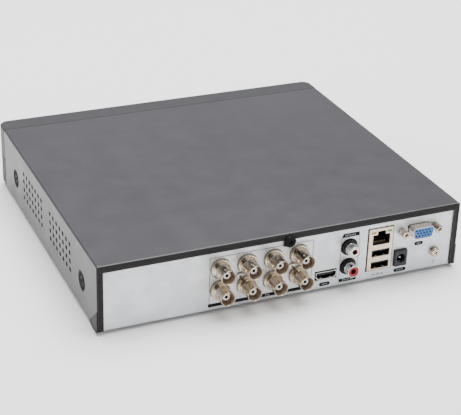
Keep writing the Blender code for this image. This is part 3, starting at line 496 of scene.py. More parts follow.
def make_cover():
    """The folded cover, with round bends, lips, vents and pressed screw dimples."""
    bm = bmesh.new()
    box(bm, (-HALF, COVER_FRONT, 0), (HALF, 0, HEIGHT))
    bm.normal_update()
    open_sides = [f for f in bm.faces if f.normal.z < -0.9 or f.normal.y < -0.9]
    bmesh.ops.delete(bm, geom=open_sides, context="FACES")
    edges = [e for e in bm.edges if len(e.link_faces) == 2]
    bmesh.ops.bevel(bm, geom=edges, offset=1.4, segments=6, profile=0.5, affect="EDGES")
    obj = mesh_object(bm)
    thicken(obj, SHEET)
    opening, pads, dimples, holes = (bmesh.new() for _ in range(4))
    box(opening, (-HALF + LIP_SIDE, -SHEET - 0.45, -1), (HALF - LIP_SIDE, 1, HEIGHT - LIP_TOP))
    x, z = REAR_SCREW.x, REAR_SCREW.z
    box(pads, (x - 3.6, -SHEET + 0.05, z - 3.5), (x + 3.6, -0.02, HEIGHT - LIP_TOP + 1))
    dish = [(0, 0.5), (7.3, 0.5), (6.9, 0.0), (6.35, -0.35), (5.7, -1.4), (5.1, -1.8)]
    dish += [(1.8, -1.8), (1.8, -4.0), (0, -4.0)]
    for side in (-1, 1):
        outward = Matrix.Rotation(side * math.pi / 2, 4, "Y")
        for y in DIMPLE_YS:
            at = Matrix.Translation((side * HALF, y, DIMPLE_Z)) @ outward
            lathe(pads, [(0, -0.5), (7.5, -0.5), (6.4, -2.9), (0, -2.9)], at)
            lathe(dimples, dish, at, 48)
        for y in VENT_COLUMNS:
            for z in VENT_ROWS:
                at = Matrix.Translation((side * (HALF - 0.5), y, z)) @ outward
                lathe(holes, [(0, 1.2), (VENT_RADIUS, 1.2), (VENT_RADIUS, -1.2), (0, -1.2)], at, 14)
    lathe(holes, [(0, 1), (1.8, 1), (1.8, -2), (0, -2)], rear_matrix(REAR_SCREW), 16)
    carve(obj, opening)
    join(obj, pads)
    groove, across = bmesh.new(), bmesh.new()
    for side in (-1, 1):
        x0, x1 = sorted((side * (HALF - GROOVE_FAR), side * (HALF - GROOVE_NEAR)))
        box(groove, (x0, -GROOVE_CUT, -1), (x1, 1, HEIGHT - 2.1))
    end = HALF - GROOVE_NEAR
    box(across, (-end, -GROOVE_CUT, HEIGHT - 2.45), (end, 1, HEIGHT - 2.1))
    carve(obj, dimples, holes, groove, across)
    plates = bmesh.new()
    for side in (-1, 1):
        corner_plate(plates, side)
    join(obj, plates)
    bm = bm_of(obj)
    bmesh.ops.remove_doubles(bm, verts=bm.verts, dist=0.001)
    cover = piece("cover_shell", bm, PAINT, ["top_cover"], weighted=True)
    # The rear-facing faces of the lips take the darker copy of the paint, as painted shade; the bends above
    # them keep the case paint.
    second_material(cover, LIP_SHADE_AND_BEZEL_BLACK, lambda c, n: c.y > -1.2 and n.y > 0.5)

    # The recessed faces of the screw dimples take the darker paint, as painted shade.
    def in_dimple(c, n):
        away = min(math.hypot(c.y - y, c.z - DIMPLE_Z) for y in DIMPLE_YS)
        return abs(c.x) < HALF - 0.1 and away < 6.95

    second_material(cover, DIMPLE_SHADE_AND_DARK_CORNER, in_dimple)
    # The corner plates take the same darker paint.
    second_material(cover, DIMPLE_SHADE_AND_DARK_CORNER, lambda c, n: abs(c.x) > HALF + 0.02 and c.y > PLATE_FRONT)


def corner_plate(bm, side):
    """The doubled lower rear corner of a side wall, a triangle with a slanted upper edge."""
    outline = [(-16.4, 0.0), (-14.8, -0.3), (-9.5, -1.7), (-1.5, -1.2), (-0.6, -0.4), (-0.6, 14.4)]
    near, far = side * (HALF - 0.4), side * (HALF + 0.3)
    rings = [[bm.verts.new((x, y, z)) for y, z in outline] for x in (near, far)]
    bm.faces.new(rings[0])
    bm.faces.new(list(reversed(rings[1])))
    stitch(bm, *rings)


def cross_screw(name, cad, head_radius, head_height, shank, length, matrix, material):
    """A domed pan head with a cross recess."""
    profile = [(0, head_height)]
    for t in arc_angles(90, 0, 5):
        profile.append((head_radius * (0.55 + 0.45 * math.cos(t)), head_height * (0.42 + 0.58 * math.sin(t))))
    profile += [(head_radius, 0.12), (head_radius - 0.12, 0.0), (shank, 0.0)]
    threads = max(4, int(length / 0.5))
    for i in range(threads):
        z = -0.2 - i * (length - 0.8) / threads
        profile += [(shank, z), (shank - 0.22, z - 0.2)]
    profile += [(shank * 0.6, -length), (0, -length)]
    bm = bmesh.new()
    lathe(bm, profile, segments=32)
    obj = mesh_object(bm)
    arm, slot_half, deep = head_radius * 0.52, head_radius * 0.105, head_height * 0.35
    above = head_height + 1
    first, second, middle = bmesh.new(), bmesh.new(), bmesh.new()
    box(first, (-arm, -slot_half, deep), (arm, slot_half, above))
    box(second, (-slot_half, -arm, deep), (slot_half, arm, above))
    cone = [(0, above), (arm * 0.62, above), (arm * 0.25, deep - 0.15), (0, deep - 0.15)]
    lathe(middle, cone, segments=16)
    carve(obj, first, second, middle)
    piece(name, bm_of(obj), material, [cad], where=CASE @ matrix)


def make_screws():
    for cad, middle in SIDE_SCREWS.items():
        side = 1 if middle.x > 0 else -1
        low, high = node_box(cad)
        seat = (high.x if side > 0 else -low.x) - 1.4
        outward = Matrix.Rotation(side * math.pi / 2, 4, "Y") @ Matrix.Rotation(0.4 * middle.y, 4, "Z")
        at = Matrix.Translation((side * seat, middle.y, middle.z)) @ outward
        cross_screw(cad.replace("side_", "cover_"), cad, 3.8, 1.4, 1.5, 7.5, at, BLACK_ZINC)
    at = rear_matrix(REAR_SCREW, 0.3) @ Matrix.Rotation(0.5, 4, "Z")
    cross_screw("top_lip_screw", "rear_cover_screw", 3.9, 1.8, 1.5, 6.5, at, BLACK_ZINC)
    for n in (1, 2):
        cad = f"bnc_housing_screw_{n}"
        middle = node_middle(cad)
        at = rear_matrix(middle, -1.0) @ Matrix.Rotation(n, 4, "Z")
        cross_screw(f"block_screw_{n}", cad, 2.2, 1.5, 1.0, 8.0, at, BRIGHT)
    middle = node_middle("ground_screw")
    at = rear_matrix(middle, 0.1) @ Matrix.Rotation(0.3, 4, "Z")
    cross_screw("earth_screw", "ground_screw", 3.3, 2.0, 1.7, 7.0, at, NICKEL)
    washer = [(2.2, 0.8), (3.35, 0.8), (3.6, 0.6), (3.6, 0.1), (3.5, 0.0), (2.2, 0.0)]
    at = rear_matrix(middle, -1.0)
    turned("earth_washer", washer, at, 40, NICKEL, ["ground_washer"])


# ---- front ----

BEZEL_FRONT = node_box("front_bezel")[0].y
WINDOW_LOW, WINDOW_HIGH = node_box("front_window")
BEZEL_WALL = 2.0
BEZEL_CORNER = 6.8
BEZEL_EDGE = 1.2
BEZEL_BACK = COVER_FRONT - 0.4
SPLIT_Z = 21.0  # the moulded line between the upper and the lower finish
GROOVE_WIDTH, GROOVE_DEPTH = 0.7, 0.45
HOOK_HEIGHTS = ((2.6, 4.8), (HEIGHT - 4.2, HEIGHT - 1.5))
HOOKS = [(side * 90, low, high) for side in (-1, 1) for low, high in HOOK_HEIGHTS]


def bezel_line(bm, z, inset):
    """One level of the bezel's skin: a U in plan with round front corners."""
    half, front = HALF - inset, BEZEL_FRONT + inset
    radius = BEZEL_CORNER - inset
    points = [(-half, BEZEL_BACK)]
    for side, first in ((-1, 180), (1, 270)):
        middle = Vector((side * (half - radius), front + radius))
        for step in range(11):
            t = math.radians(first + step * 9)
            points.append((middle.x + radius * math.cos(t), middle.y + radius * math.sin(t)))
    points.append((half, BEZEL_BACK))
    return [bm.verts.new((x, y, z)) for x, y in points]


def make_bezel():
    """Moulded front: rounded corners and edges, a moulded line between its two finishes, hooks behind."""
    angles = arc_angles(0, 90, 5)
    edge = [(BEZEL_EDGE * (1 - math.sin(t)), BEZEL_EDGE * (1 - math.cos(t))) for t in angles]
    levels = [(rise, inset) for inset, rise in edge]
    groove = GROOVE_WIDTH / 2
    levels += [(SPLIT_Z - groove, 0), (SPLIT_Z - groove + 0.15, GROOVE_DEPTH)]
    levels += [(SPLIT_Z + groove - 0.15, GROOVE_DEPTH), (SPLIT_Z + groove, 0)]
    levels += [(HEIGHT - rise, inset) for inset, rise in reversed(edge)]
    bm = bmesh.new()
    lines = [bezel_line(bm, z, inset) for z, inset in levels]
    for lower, upper in zip(lines, lines[1:]):
        for i in range(len(lower) - 1):
            bm.faces.new((lower[i], lower[i + 1], upper[i + 1], upper[i]))
    bm.faces.new(list(reversed(lines[0])))
    bm.faces.new(lines[-1])
    obj = mesh_object(bm)
    thicken(obj, BEZEL_WALL)
    hooks, opening = bmesh.new(), bmesh.new()
    for x, low, high in HOOKS:
        box(hooks, (x - 10, BEZEL_BACK - 8, low), (x + 10, BEZEL_BACK + 6, high), 0.3, 1)
    gap = Vector((0.3, 0.3))
    outline = rounded_outline(WINDOW_MIN - gap, WINDOW_MAX + gap, 1.5)
    prism(opening, outline, BEZEL_FRONT - 1, BEZEL_FRONT + BEZEL_WALL + 0.5)
    join(obj, hooks)
    carve(obj, opening)
    bezel = piece("bezel_shell", bm_of(obj), BEZEL, ["front_bezel"], weighted=True)
    second_material(bezel, LIP_SHADE_AND_BEZEL_BLACK, lambda c, n: c.z < SPLIT_Z + 0.1)


# the window's raised face, inside its flange
WINDOW_MIN = Vector((WINDOW_LOW.x + 2.3, WINDOW_LOW.z + 2.3))
WINDOW_MAX = Vector((WINDOW_HIGH.x - 2.3, WINDOW_HIGH.z - 1.9))


def make_window():
    """Smoked window with softened edges, on its flange."""
    bm = bmesh.new()
    front, flange = WINDOW_LOW.y, WINDOW_HIGH.y - 1.2
    rows = [(flange + 0.4, 0), (front + 0.25, 0), (front, 0.25)]
    loft(bm, rounded_outline(WINDOW_MIN, WINDOW_MAX, 1.2), rows)
    obj = mesh_object(bm)
    rim = bmesh.new()
    low, high = (WINDOW_LOW.x, WINDOW_LOW.z), (WINDOW_HIGH.x, WINDOW_HIGH.z)
    prism(rim, rounded_outline(low, high, 1.5), WINDOW_HIGH.y, flange)
    join(obj, rim)
    piece("smoked_window", bm_of(obj), SMOKED, ["front_window"])


def make_feet():
    """Round rubber feet with a soft edge and a moulded ring on the sole."""
    rise = node_box("foot_rear_left")[0].z
    edge = [(6.0 + 0.8 * math.sin(t), rise + 0.8 * (1 - math.cos(t))) for t in arc_angles(90, 0, 5)]
    sole = [(5.2, rise), (4.9, rise + 0.35), (3.6, rise + 0.35), (3.3, rise), (0, rise)]
    stem = [(0, 2.6), (2.4, 2.4), (2.9, 1.9), (2.9, 1.35), (2.1, 1.3), (2.1, -0.3)]
    profile = stem + [(6.9, -0.3), (7.0, -0.5)] + edge + sole
    for place in ("front_left", "front_right", "rear_left", "rear_right"):
        cad = f"foot_{place}"
        middle = node_middle(cad)
        at = Matrix.Translation((middle.x, middle.y, 0))
        turned(f"rubber_foot_{place}", profile, at, 40, RUBBER, [cad])


# ---- connectors ----

PANEL_Y = node_box("chassis_tray")[1].y
BNC_CENTRES = [node_middle(f"bnc_shell_{n}") for n in range(1, 9)]
BNC_FRONT = node_box("bnc_shell_1")[1].y


def make_video_sockets():
    """Turned bayonet shells with two lugs, white insulators and gold centre contacts."""
    mouth = BNC_FRONT
    profile = [(4.5, mouth - 0.12), (4.58, mouth), (4.74, mouth), (4.83, mouth - 0.12), (4.83, 3.4)]
    profile += [(5.0, 2.8), (5.6, 2.3), (5.6, 1.2), (5.75, 1.05), (6.4, 1.0), (6.6, 0.8), (6.6, -2.3)]
    profile += [(4.4, -2.3), (4.4, -9.0), (2.5, -9.0), (2.5, 3.0), (4.2, 3.0), (4.5, 3.4)]
    insulator = [(1.05, 8.8), (1.2, 9.0), (2.15, 9.0), (2.4, 8.75), (2.4, 3.4), (2.2, 3.2)]
    insulator += [(2.2, -10.0), (1.05, -10.0)]
    contact = [(0.5, 5.6), (0.7, 5.6), (0.85, 5.4), (0.85, -9.8), (0.5, -9.8)]
    for number, middle in enumerate(BNC_CENTRES, 1):
        at = rear_matrix(middle)
        bm = bmesh.new()
        lathe(bm, profile, at, 48)
        obj = mesh_object(bm)
        for side in (-1, 1):
            lug = bmesh.new()
            turn = Matrix.Translation((0, 0, mouth - 4.2)) @ Matrix.Rotation(side * math.pi / 2, 4, "Y")
            lathe(lug, [(0, 5.6), (0.75, 5.6), (0.98, 5.4), (0.98, 4.3), (0, 4.3)], at @ turn, 20)
            join(obj, lug)
        shell = piece(f"video_shell_{number}", bm_of(obj), NICKEL, [f"bnc_shell_{number}"])
        # The inside of the shell takes the paler copy, as painted light in the bore.
        second_material(shell, NICKEL_BORE_LIT, around(middle, 4.54, mouth - 0.2))
        name, cad = f"video_insulator_{number}", f"bnc_insulator_{number}"
        core = turned(name, insulator, at, 32, WHITE_PLASTIC, [cad])
        # The faces of the insulator's centre hole take black plastic, as painted shade inside the hole.
        second_material(core, BLACK_PLASTIC, around(middle, 1.07))
        turned(f"video_contact_{number}", contact, at, 20, GOLD)


def fillet(points, radius, steps=4):
    """Rounds the corners of a convex outline, given anticlockwise or clockwise."""
    points = [Vector(p) for p in points]
    rounded = []
    for index, corner in enumerate(points):
        to_before = (points[index - 1] - corner).normalized()
        to_after = (points[(index + 1) % len(points)] - corner).normalized()
        half = to_before.angle(to_after) / 2
        reach = radius / math.tan(half)
        centre = corner + (to_before + to_after).normalized() * radius / math.sin(half)
        start = (corner + to_before * reach - centre).normalized()
        end = (corner + to_after * reach - centre).normalized()
        rounded += [centre + start.slerp(end, i / steps) * radius for i in range(steps + 1)]
    return rounded


def hdmi_outline(inset, radius):
    middle = node_middle("hdmi_shell")
    half, tall, corner = 7.5 - inset, 2.75 - inset, 1.9
    points = [(half, tall), (-half, tall), (-half, -tall + corner)]
    points += [(-half + corner, -tall), (half - corner, -tall), (half, -tall + corner)]
    return fillet([(middle.x + x, middle.z + z) for x, z in points], radius, 3)


def make_hdmi():
    """Shell with chamfered lower corners, a tongue with 19 contacts and two leaf springs."""
    low, high = node_box("hdmi_shell")
    bm = bmesh.new()
    tube_frame(bm, hdmi_outline(0, 0.5), hdmi_outline(0.4, 0.25), low.y, high.y)
    piece("hdmi_can", bm, BRIGHT, ["hdmi_shell"])
    middle = node_middle("hdmi_shell")
    bm = bmesh.new()
    prism(bm, hdmi_outline(0.6, 0.3), -12.8, -9.5)
    obj = mesh_object(bm)
    blade = bmesh.new()
    box(blade, (middle.x - 5.6, -10.0, middle.z - 0.3), (middle.x + 5.6, -2.2, middle.z + 1.3), 0.2)
    join(obj, blade)
    piece("hdmi_blade", bm_of(obj), BLACK_PLASTIC, ["hdmi_tongue"])
    contacts = []
    for number in range(19):
        x = middle.x + (number - 9) * 0.5
        z = middle.z + (1.34 if number % 2 else -0.34)
        contacts.append(((x - 0.16, -9.4, z - 0.07), (x + 0.16, -2.7, z + 0.07)))
    strips("hdmi_contacts", contacts, GOLD, 0.03)
    bm = bmesh.new()
    for side in (-1, 1):
        x = middle.x + side * 3.6
        box(bm, (x - 0.9, -7.5, middle.z - 2.25), (x + 0.9, -1.6, middle.z - 2.05), 0.05, 1)
        for vert in leaf_points(bm, x, -5.0, -2.5):
            vert.co.z += 0.45
    piece("hdmi_springs", bm, BRIGHT)


def leaf_points(bm, x, start, end):
    """The points of a flat spring's middle, which is pressed inwards."""
    near = [e for e in bm.edges if abs(e.verts[0].co.x - x) < 1.5]
    edges = [e for e in near if abs(e.verts[0].co.y - e.verts[1].co.y) > 3]
    cuts = bmesh.ops.subdivide_edges(bm, edges=edges, cuts=3)["geom_inner"]
    inner = [v for v in cuts if isinstance(v, bmesh.types.BMVert)]
    return [v for v in inner if start - 1 < v.co.y < end + 1]


def make_audio_sockets():
    """Two phono sockets in one moulding: stepped black collars, plated shells, white and red insulators."""
    low, high = node_box("rca_housing")
    rows = {label: node_middle(f"rca_shell_{label}") for label in ("out", "in")}
    obj = block(low, (high.x, PANEL_Y - 1.3, high.z), 0.4)
    collars, wells = bmesh.new(), bmesh.new()
    for middle in rows.values():
        at = rear_matrix(middle)
        rise = high.y
        collar = [(4.6, rise - 0.5), (4.75, rise), (5.1, rise), (5.3, rise - 0.25), (5.3, -3.2)]
        lathe(collars, [(0, rise - 0.5)] + collar + [(0, -3.2)], at, 48)
        lathe(wells, [(0, 3), (4.4, 3), (4.4, -12.0), (0, -12.0)], at, 40)
    join(obj, collars)
    carve(obj, wells)
    piece("audio_block", bm_of(obj), BLACK_PLASTIC, ["rca_housing"])
    for label, colour, dark, slot in (
        ("out", RED_PLASTIC, RED_JACK_BORE_SHADE, "red_plastic"),
        ("in", WHITE_PLASTIC, WHITE_JACK_BORE_SHADE, "white_plastic"),
    ):
        middle = rows[label]
        rim = node_box(f"rca_shell_{label}")[1].y
        at = rear_matrix(middle)
        profile = [(3.6, rim - 0.1), (3.7, rim), (4.0, rim), (4.15, rim - 0.2), (4.15, 2.2), (4.3, 2.0)]
        profile += [(4.3, 0.6), (4.15, 0.4), (4.15, -11.5), (3.6, -11.5)]
        turned(f"audio_shell_{label}", profile, at, 48, BRIGHT, [f"rca_shell_{label}"])
        face = rim - 0.25
        profile = [(0, -4.0), (1.85, -4.0), (1.85, face - 0.25), (2.1, face), (3.2, face)]
        profile += [(3.5, face - 0.3), (3.5, -11.2), (0, -11.2)]
        name, cad = f"audio_insulator_{label}", f"rca_insulator_{label}"
        core = turned(name, profile, at, 40, colour, [cad])
        # The faces of the insulator's hole take the darker colour, as painted shade.
        second_material(core, dark, around(middle, 1.87))


JACK_X, JACK_Z = (-74.7, -62.0), (24.7, 32.2)
JACK_MIDDLE = sum(JACK_X) / 2
USB_X, USB_ZS, USB_TALL = (-75.1, -61.9), (7.2, 16.0), 5.1
USB_MIDDLE = sum(USB_X) / 2
LAMP_XS = (JACK_X[0] + 0.5, JACK_X[1] - 0.5)


def make_network_can():
    """Steel can with a rounded skin, two USB windows, a stepped network window and two lamps."""
    low, high = node_box("lan_usb_shield")
    obj = block(low, high, 0.45, 3)
    hollow, windows, key, lamps = (bmesh.new() for _ in range(4))
    sheet = Vector((0.45, 0.45, 0.45))
    box(hollow, low + sheet - Vector((0, 1.45, 0)), high - sheet, 0.2, 1)
    front, back = high.y + 1, high.y - 2
    top = JACK_Z[1]
    prism(windows, rounded_outline((JACK_X[0], JACK_Z[0]), (JACK_X[1], JACK_Z[1]), 0.3, 2), back, front)
    for z in USB_ZS:
        prism(windows, rounded_outline((USB_X[0], z), (USB_X[1], z + USB_TALL), 0.5, 3), back, front)
    outline = rounded_outline((JACK_MIDDLE - 3.0, top - 1), (JACK_MIDDLE + 3.0, top + 2.6), 0.2, 2)
    prism(key, outline, back, front)
    for x in LAMP_XS:
        prism(lamps, rounded_outline((x - 1.8, top + 0.9), (x + 1.8, top + 2.7), 0.2, 2), back, front)
    carve(obj, hollow, windows, key, lamps)
    piece("socket_can", bm_of(obj), STEEL_CAN, ["lan_usb_shield"], weighted=True)
    for x, name, colour in zip(LAMP_XS, ("green_lamp", "amber_lamp"), (GREEN_LENS, AMBER_LENS)):
        lens = (x - 1.7, high.y - 0.9, top + 1.0), (x + 1.7, high.y + 0.12, top + 2.6)
        strips(name, [lens], colour, 0.18, 2)


def make_network_core():
    """The black core of the can: one network well with eight wires, two USB wells with their tongues."""
    low, high = node_box("lan_usb_core")
    obj = block(low, high, 0.2, 1)
    wells, key, tongues, shelf = (bmesh.new() for _ in range(4))
    front = high.y + 1
    box(wells, (JACK_X[0] + 0.3, -15.5, JACK_Z[0] + 0.3), (JACK_X[1] - 0.3, front, JACK_Z[1] - 0.3))
    for z in USB_ZS:
        box(wells, (USB_X[0] + 0.3, -14.0, z + 0.2), (USB_X[1] - 0.3, front, z + USB_TALL - 0.2))
        box(tongues, (USB_X[0] + 1.0, -14.5, z + 2.8), (USB_X[1] - 1.0, -2.5, z + 4.4), 0.25)
    box(key, (JACK_MIDDLE - 3.0, -13.0, JACK_Z[1] - 1), (JACK_MIDDLE + 3.0, front, JACK_Z[1] + 2.2))
    left, right, floor = JACK_X[0] + 1.2, JACK_X[1] - 1.2, JACK_Z[0]
    box(shelf, (left, -15.0, floor + 0.1), (right, -2.6, floor + 1.2), 0.2, 1)
    carve(obj, wells, key)
    join(obj, tongues, shelf)
    piece("socket_core", bm_of(obj), BLACK_PLASTIC, ["lan_usb_core"])
    bm = bmesh.new()
    for number in range(8):
        x = JACK_MIDDLE + (number - 3.5) * 1.02
        box(bm, (x - 0.18, -12.5, floor + 1.25), (x + 0.18, -3.2, floor + 1.6), 0.05, 1)
        lift_back(bm, x, 0.3, -8.0, floor + 1.0, 2.2)
    for z in USB_ZS:
        for number in range(4):
            x = USB_MIDDLE + (number - 1.5) * 2.3
            box(bm, (x - 0.5, -12.5, z + 2.68), (x + 0.5, -3.0, z + 2.86), 0.05, 1)
    piece("socket_wires", bm, GOLD)
    bm = bmesh.new()
    for z in USB_ZS:
        for side in (-1, 1):
            x = USB_MIDDLE + side * 3.0
            box(bm, (x - 0.9, -8.5, z + 0.22), (x + 0.9, -1.7, z + 0.42), 0.06, 1)
            lift_back(bm, x, 1.0, -5.0, z, 0.45)
    piece("usb_springs", bm, BRIGHT)


def lift_back(bm, x, reach, behind, floor, rise):
    """Raises the rear end of a strip, so that it slopes."""
    for vert in bm.verts:
        if abs(vert.co.x - x) < reach and vert.co.y < behind and floor < vert.co.z < floor + 1:
            vert.co.z += rise


VGA = node_middle("vga_insert")
POST_REACH = 12.495
PIN_PITCH, PIN_RADIUS = 2.29, 0.62
PIN_ROWS = ((1.98, 0.57), (0.0, -0.57), (-1.98, 0.57))  # height and sideways shift of each row


def d_outline(width, height, radius, slope=0.75):
    """The D shape of the 15-way socket: wider at the top."""
    top, bottom, half = width / 2, width / 2 - slope * 2, height / 2
    points = [(top, half), (-top, half), (-bottom, -half), (bottom, -half)]
    return fillet([(VGA.x + x, VGA.z + z) for x, z in points], radius, 6)


def make_vga():
    """Plated D shell on its flange, the blue insert with its 15 holes and two threaded posts."""
    low, high = node_box("vga_shell")
    nose, back, face = high.y, low.y, PANEL_Y - 1.3
    obj = block(low, (high.x, face, high.z), 0.3)
    hollow = bmesh.new()
    prism(hollow, d_outline(16.0, 7.6, 1.85), back - 1, face + 1)
    for side in (-1, 1):
        prism(hollow, disc_outline(VGA.x + side * POST_REACH, VGA.z, 1.7), back - 1, face + 1)
    carve(obj, hollow)
    bm = bm_of(obj)
    tube_frame(bm, d_outline(16.3, 7.9, 2.0), d_outline(15.7, 7.3, 1.7), nose, back + 0.1)
    piece("d_shell", bm, VGA_PLATE, ["vga_shell"])
    low, high = node_box("vga_insert")
    obj = block(low, (high.x, low.y + 7, high.z), 0.3, 1)
    body, pins = bmesh.new(), bmesh.new()
    loft(body, d_outline(15.5, 7.1, 1.6), [(low.y + 6, 0), (high.y - 0.15, 0), (high.y, 0.15)])
    for x, z in pin_places():
        prism(pins, disc_outline(x, z, PIN_RADIUS, 14), high.y - 4.5, high.y + 1)
    join(obj, body)
    carve(obj, pins)
    insert = piece("d_insert", bm_of(obj), BLUE_PLASTIC, ["vga_insert"])

    def in_hole(c, n):
        away = min(math.hypot(c.x - x, c.z - z) for x, z in pin_places())
        return c.y < high.y - 0.3 and away < PIN_RADIUS + 0.01

    # The walls of the pin holes take the darker blue, as painted shade.
    second_material(insert, BLUE_HOLE_SHADE, in_hole)
    for side, label in ((1, "left"), (-1, "right")):
        cad = f"vga_post_{label}"
        low, high = node_box(cad)
        at = rear_matrix(VGA + Vector((side * POST_REACH, 0, 0))) @ Matrix.Rotation(0.25 * side, 4, "Z")
        bm = bmesh.new()
        tip = high.y
        profile = [(0, tip), (2.35, tip), (2.88, tip - 0.45), (2.88, -0.75), (2.6, -1.0), (1.4, -1.0)]
        lathe(bm, profile + [(1.4, -9.0), (0, -9.0)], at, 6)
        obj = mesh_object(bm)
        bore = bmesh.new()
        thread = [(1.55, tip + 0.2), (1.25, tip - 0.35)]
        for turn in range(7):
            thread += [(1.4, tip - 0.6 - turn * 0.6), (1.2, tip - 0.9 - turn * 0.6)]
        lathe(bore, [(0, tip + 0.2)] + thread + [(0, tip - 4.9)], at, 24)
        carve(obj, bore)
        piece(f"hex_post_{label}", bm_of(obj), NICKEL, [cad], angle=math.radians(25))


def pin_places():
    columns = [VGA.x + (column - 2) * PIN_PITCH for column in range(5)]
    return [(x + shift, VGA.z + z) for z, shift in PIN_ROWS for x in columns]


def make_power_socket():
    """Square moulding with a round, flared well, a domed pin and a leaf spring."""
    low, high = node_box("dc_jack_body")
    middle = (low + high) / 2
    obj = block(low, high, 0.5, 3)
    well, slot = bmesh.new(), bmesh.new()
    at = rear_matrix(middle)
    mouth = [(0, high.y + 1), (4.3, high.y + 1), (3.1, high.y - 0.3)]
    lathe(well, mouth + [(3.1, -9.5), (0, -9.5)], at, 40)
    box(slot, (middle.x - 1.1, -9.0, middle.z - 4.4), (middle.x + 1.1, -1.0, middle.z - 2.5))
    carve(obj, well, slot)
    piece("power_jack", bm_of(obj), JACK_PLASTIC, ["dc_jack_body"])
    tip, radius = node_box("dc_jack_pin")[1].y, 1.05
    pin = [(radius * math.sin(t), tip - radius * (1 - math.cos(t))) for t in arc_angles(0, 90, 5)]
    pin += [(radius, -9.2), (0, -9.2)]
    turned("power_pin", pin, at, 28, BRIGHT, ["dc_jack_pin"])
    leaf = (middle.x - 0.9, -8.6, middle.z - 3.5), (middle.x + 0.9, -1.4, middle.z - 3.2)
    strips("power_spring", [leaf], BRIGHT, 0.08)


# ---- printing on the panel ----

INK_BACK, INK_FRONT = PANEL_Y - 0.03, PANEL_Y + 0.05


def bar(bm, x0, z0, x1, z1, radius=0.02, steps=1):
    prism(bm, rounded_outline((x0, z0), (x1, z1), radius, steps), INK_BACK, INK_FRONT)


def dash(bm, start, end, width):
    """A printed stroke between two points."""
    start, end = Vector(start), Vector(end)
    side = Vector((start.y - end.y, end.x - start.x)).normalized() * width / 2
    prism(bm, [start + side, start - side, end - side, end + side], INK_BACK, INK_FRONT)


def pale_ticks(bm, middle, z, count, width=0.5, tall=0.8, pitch=1.15):
    """Plain ticks where a caption would be. They stand for no letters."""
    for i in range(count):
        x = middle + (i - (count - 1) / 2) * pitch
        low = (x - width / 2, INK_FRONT - 0.02, z - tall / 2)
        box(bm, low, (x + width / 2, INK_FRONT + 0.03, z + tall / 2))


def make_printing():
    """Frames, bars and plain signs printed on the panel, with no lettering."""
    ink, grey, pale = bmesh.new(), bmesh.new(), bmesh.new()
    bar(ink, -17.6, 1.8, 53.4, 4.2)
    pale_ticks(pale, 12.4, 2.9, 3)
    corners = ((52.7, 4.2), (52.7, 37.0), (-18.9, 37.0), (-18.2, 4.2))
    for start, end in zip(corners, corners[1:]):
        dash(grey, start, end, 0.4)
    for x, z, wide, ticks in ((-28.5, 2.7, 7.7, 4), (-84.5, 2.55, 9.2, 5), (-97.4, 20.1, 6.6, 3)):
        bar(ink, x - wide / 2, z - 1.35, x + wide / 2, z + 1.35, 1.3, 5)
        pale_ticks(pale, x, z, ticks)
    rca = node_middle("rca_housing").x
    for left, right, z0, z1, lean in ((5.9, -7.0, 34.4, 37.2, 1.2), (6.2, -6.6, 1.7, 4.1, 0)):
        outline = [(rca + right, z0), (rca + right, z1), (rca + left - lean, z1), (rca + left, z0)]
        prism(ink, outline[::-1], INK_BACK, INK_FRONT)
        pale_ticks(pale, rca - 0.3, (z0 + z1) / 2, 7)
    dash(grey, (rca + 5.9, 34.4), (rca + 6.1, 4.1), 0.35)
    dash(grey, (rca - 7.1, 34.4), (rca - 6.8, 4.1), 0.35)
    x, z = -67.8, 2.5
    dash(ink, (x - 3.4, z), (x + 3.4, z), 0.3)
    for shift in (-3.4, 3.4):
        prism(ink, disc_outline(x + shift, z, 0.5, 12), INK_BACK, INK_FRONT)
    dash(ink, (x - 1.2, z), (x + 0.6, z + 1.2), 0.3)
    dash(ink, (x - 0.6, z), (x + 1.2, z - 1.2), 0.3)
    x = node_middle("ground_screw").x - 0.4
    for step, wide in enumerate((2.8, 1.9, 1.0)):
        dash(grey, (x - wide / 2, 4.3 - step * 0.9), (x + wide / 2, 4.3 - step * 0.9), 0.3)
    dash(grey, (x, 4.3), (x, 5.6), 0.3)
    piece("printed_ink", ink, INK)
    piece("printed_lines", grey, GREY_INK)
    piece("printed_marks", pale, PALE_INK)


# ---- inside the case ----

# left, front, width, depth and top of each chip
CHIPS = ((-20, -72, 32, 32, 7.2), (-50, -60, 12, 12, 6.9), (-50, -44, 12, 12, 6.9), (-30, -32, 8, 6, 6.8))
CHIPS += ((-6, -32, 8, 5, 6.8), (20, -78, 8, 8, 6.6), (-116, -44, 8, 8, 6.8), (40, -48, 12, 10, 6.9))
CAPACITORS = ((-84, -60), (-96, -60), (-108, -60), (22, -50), (22, -36))


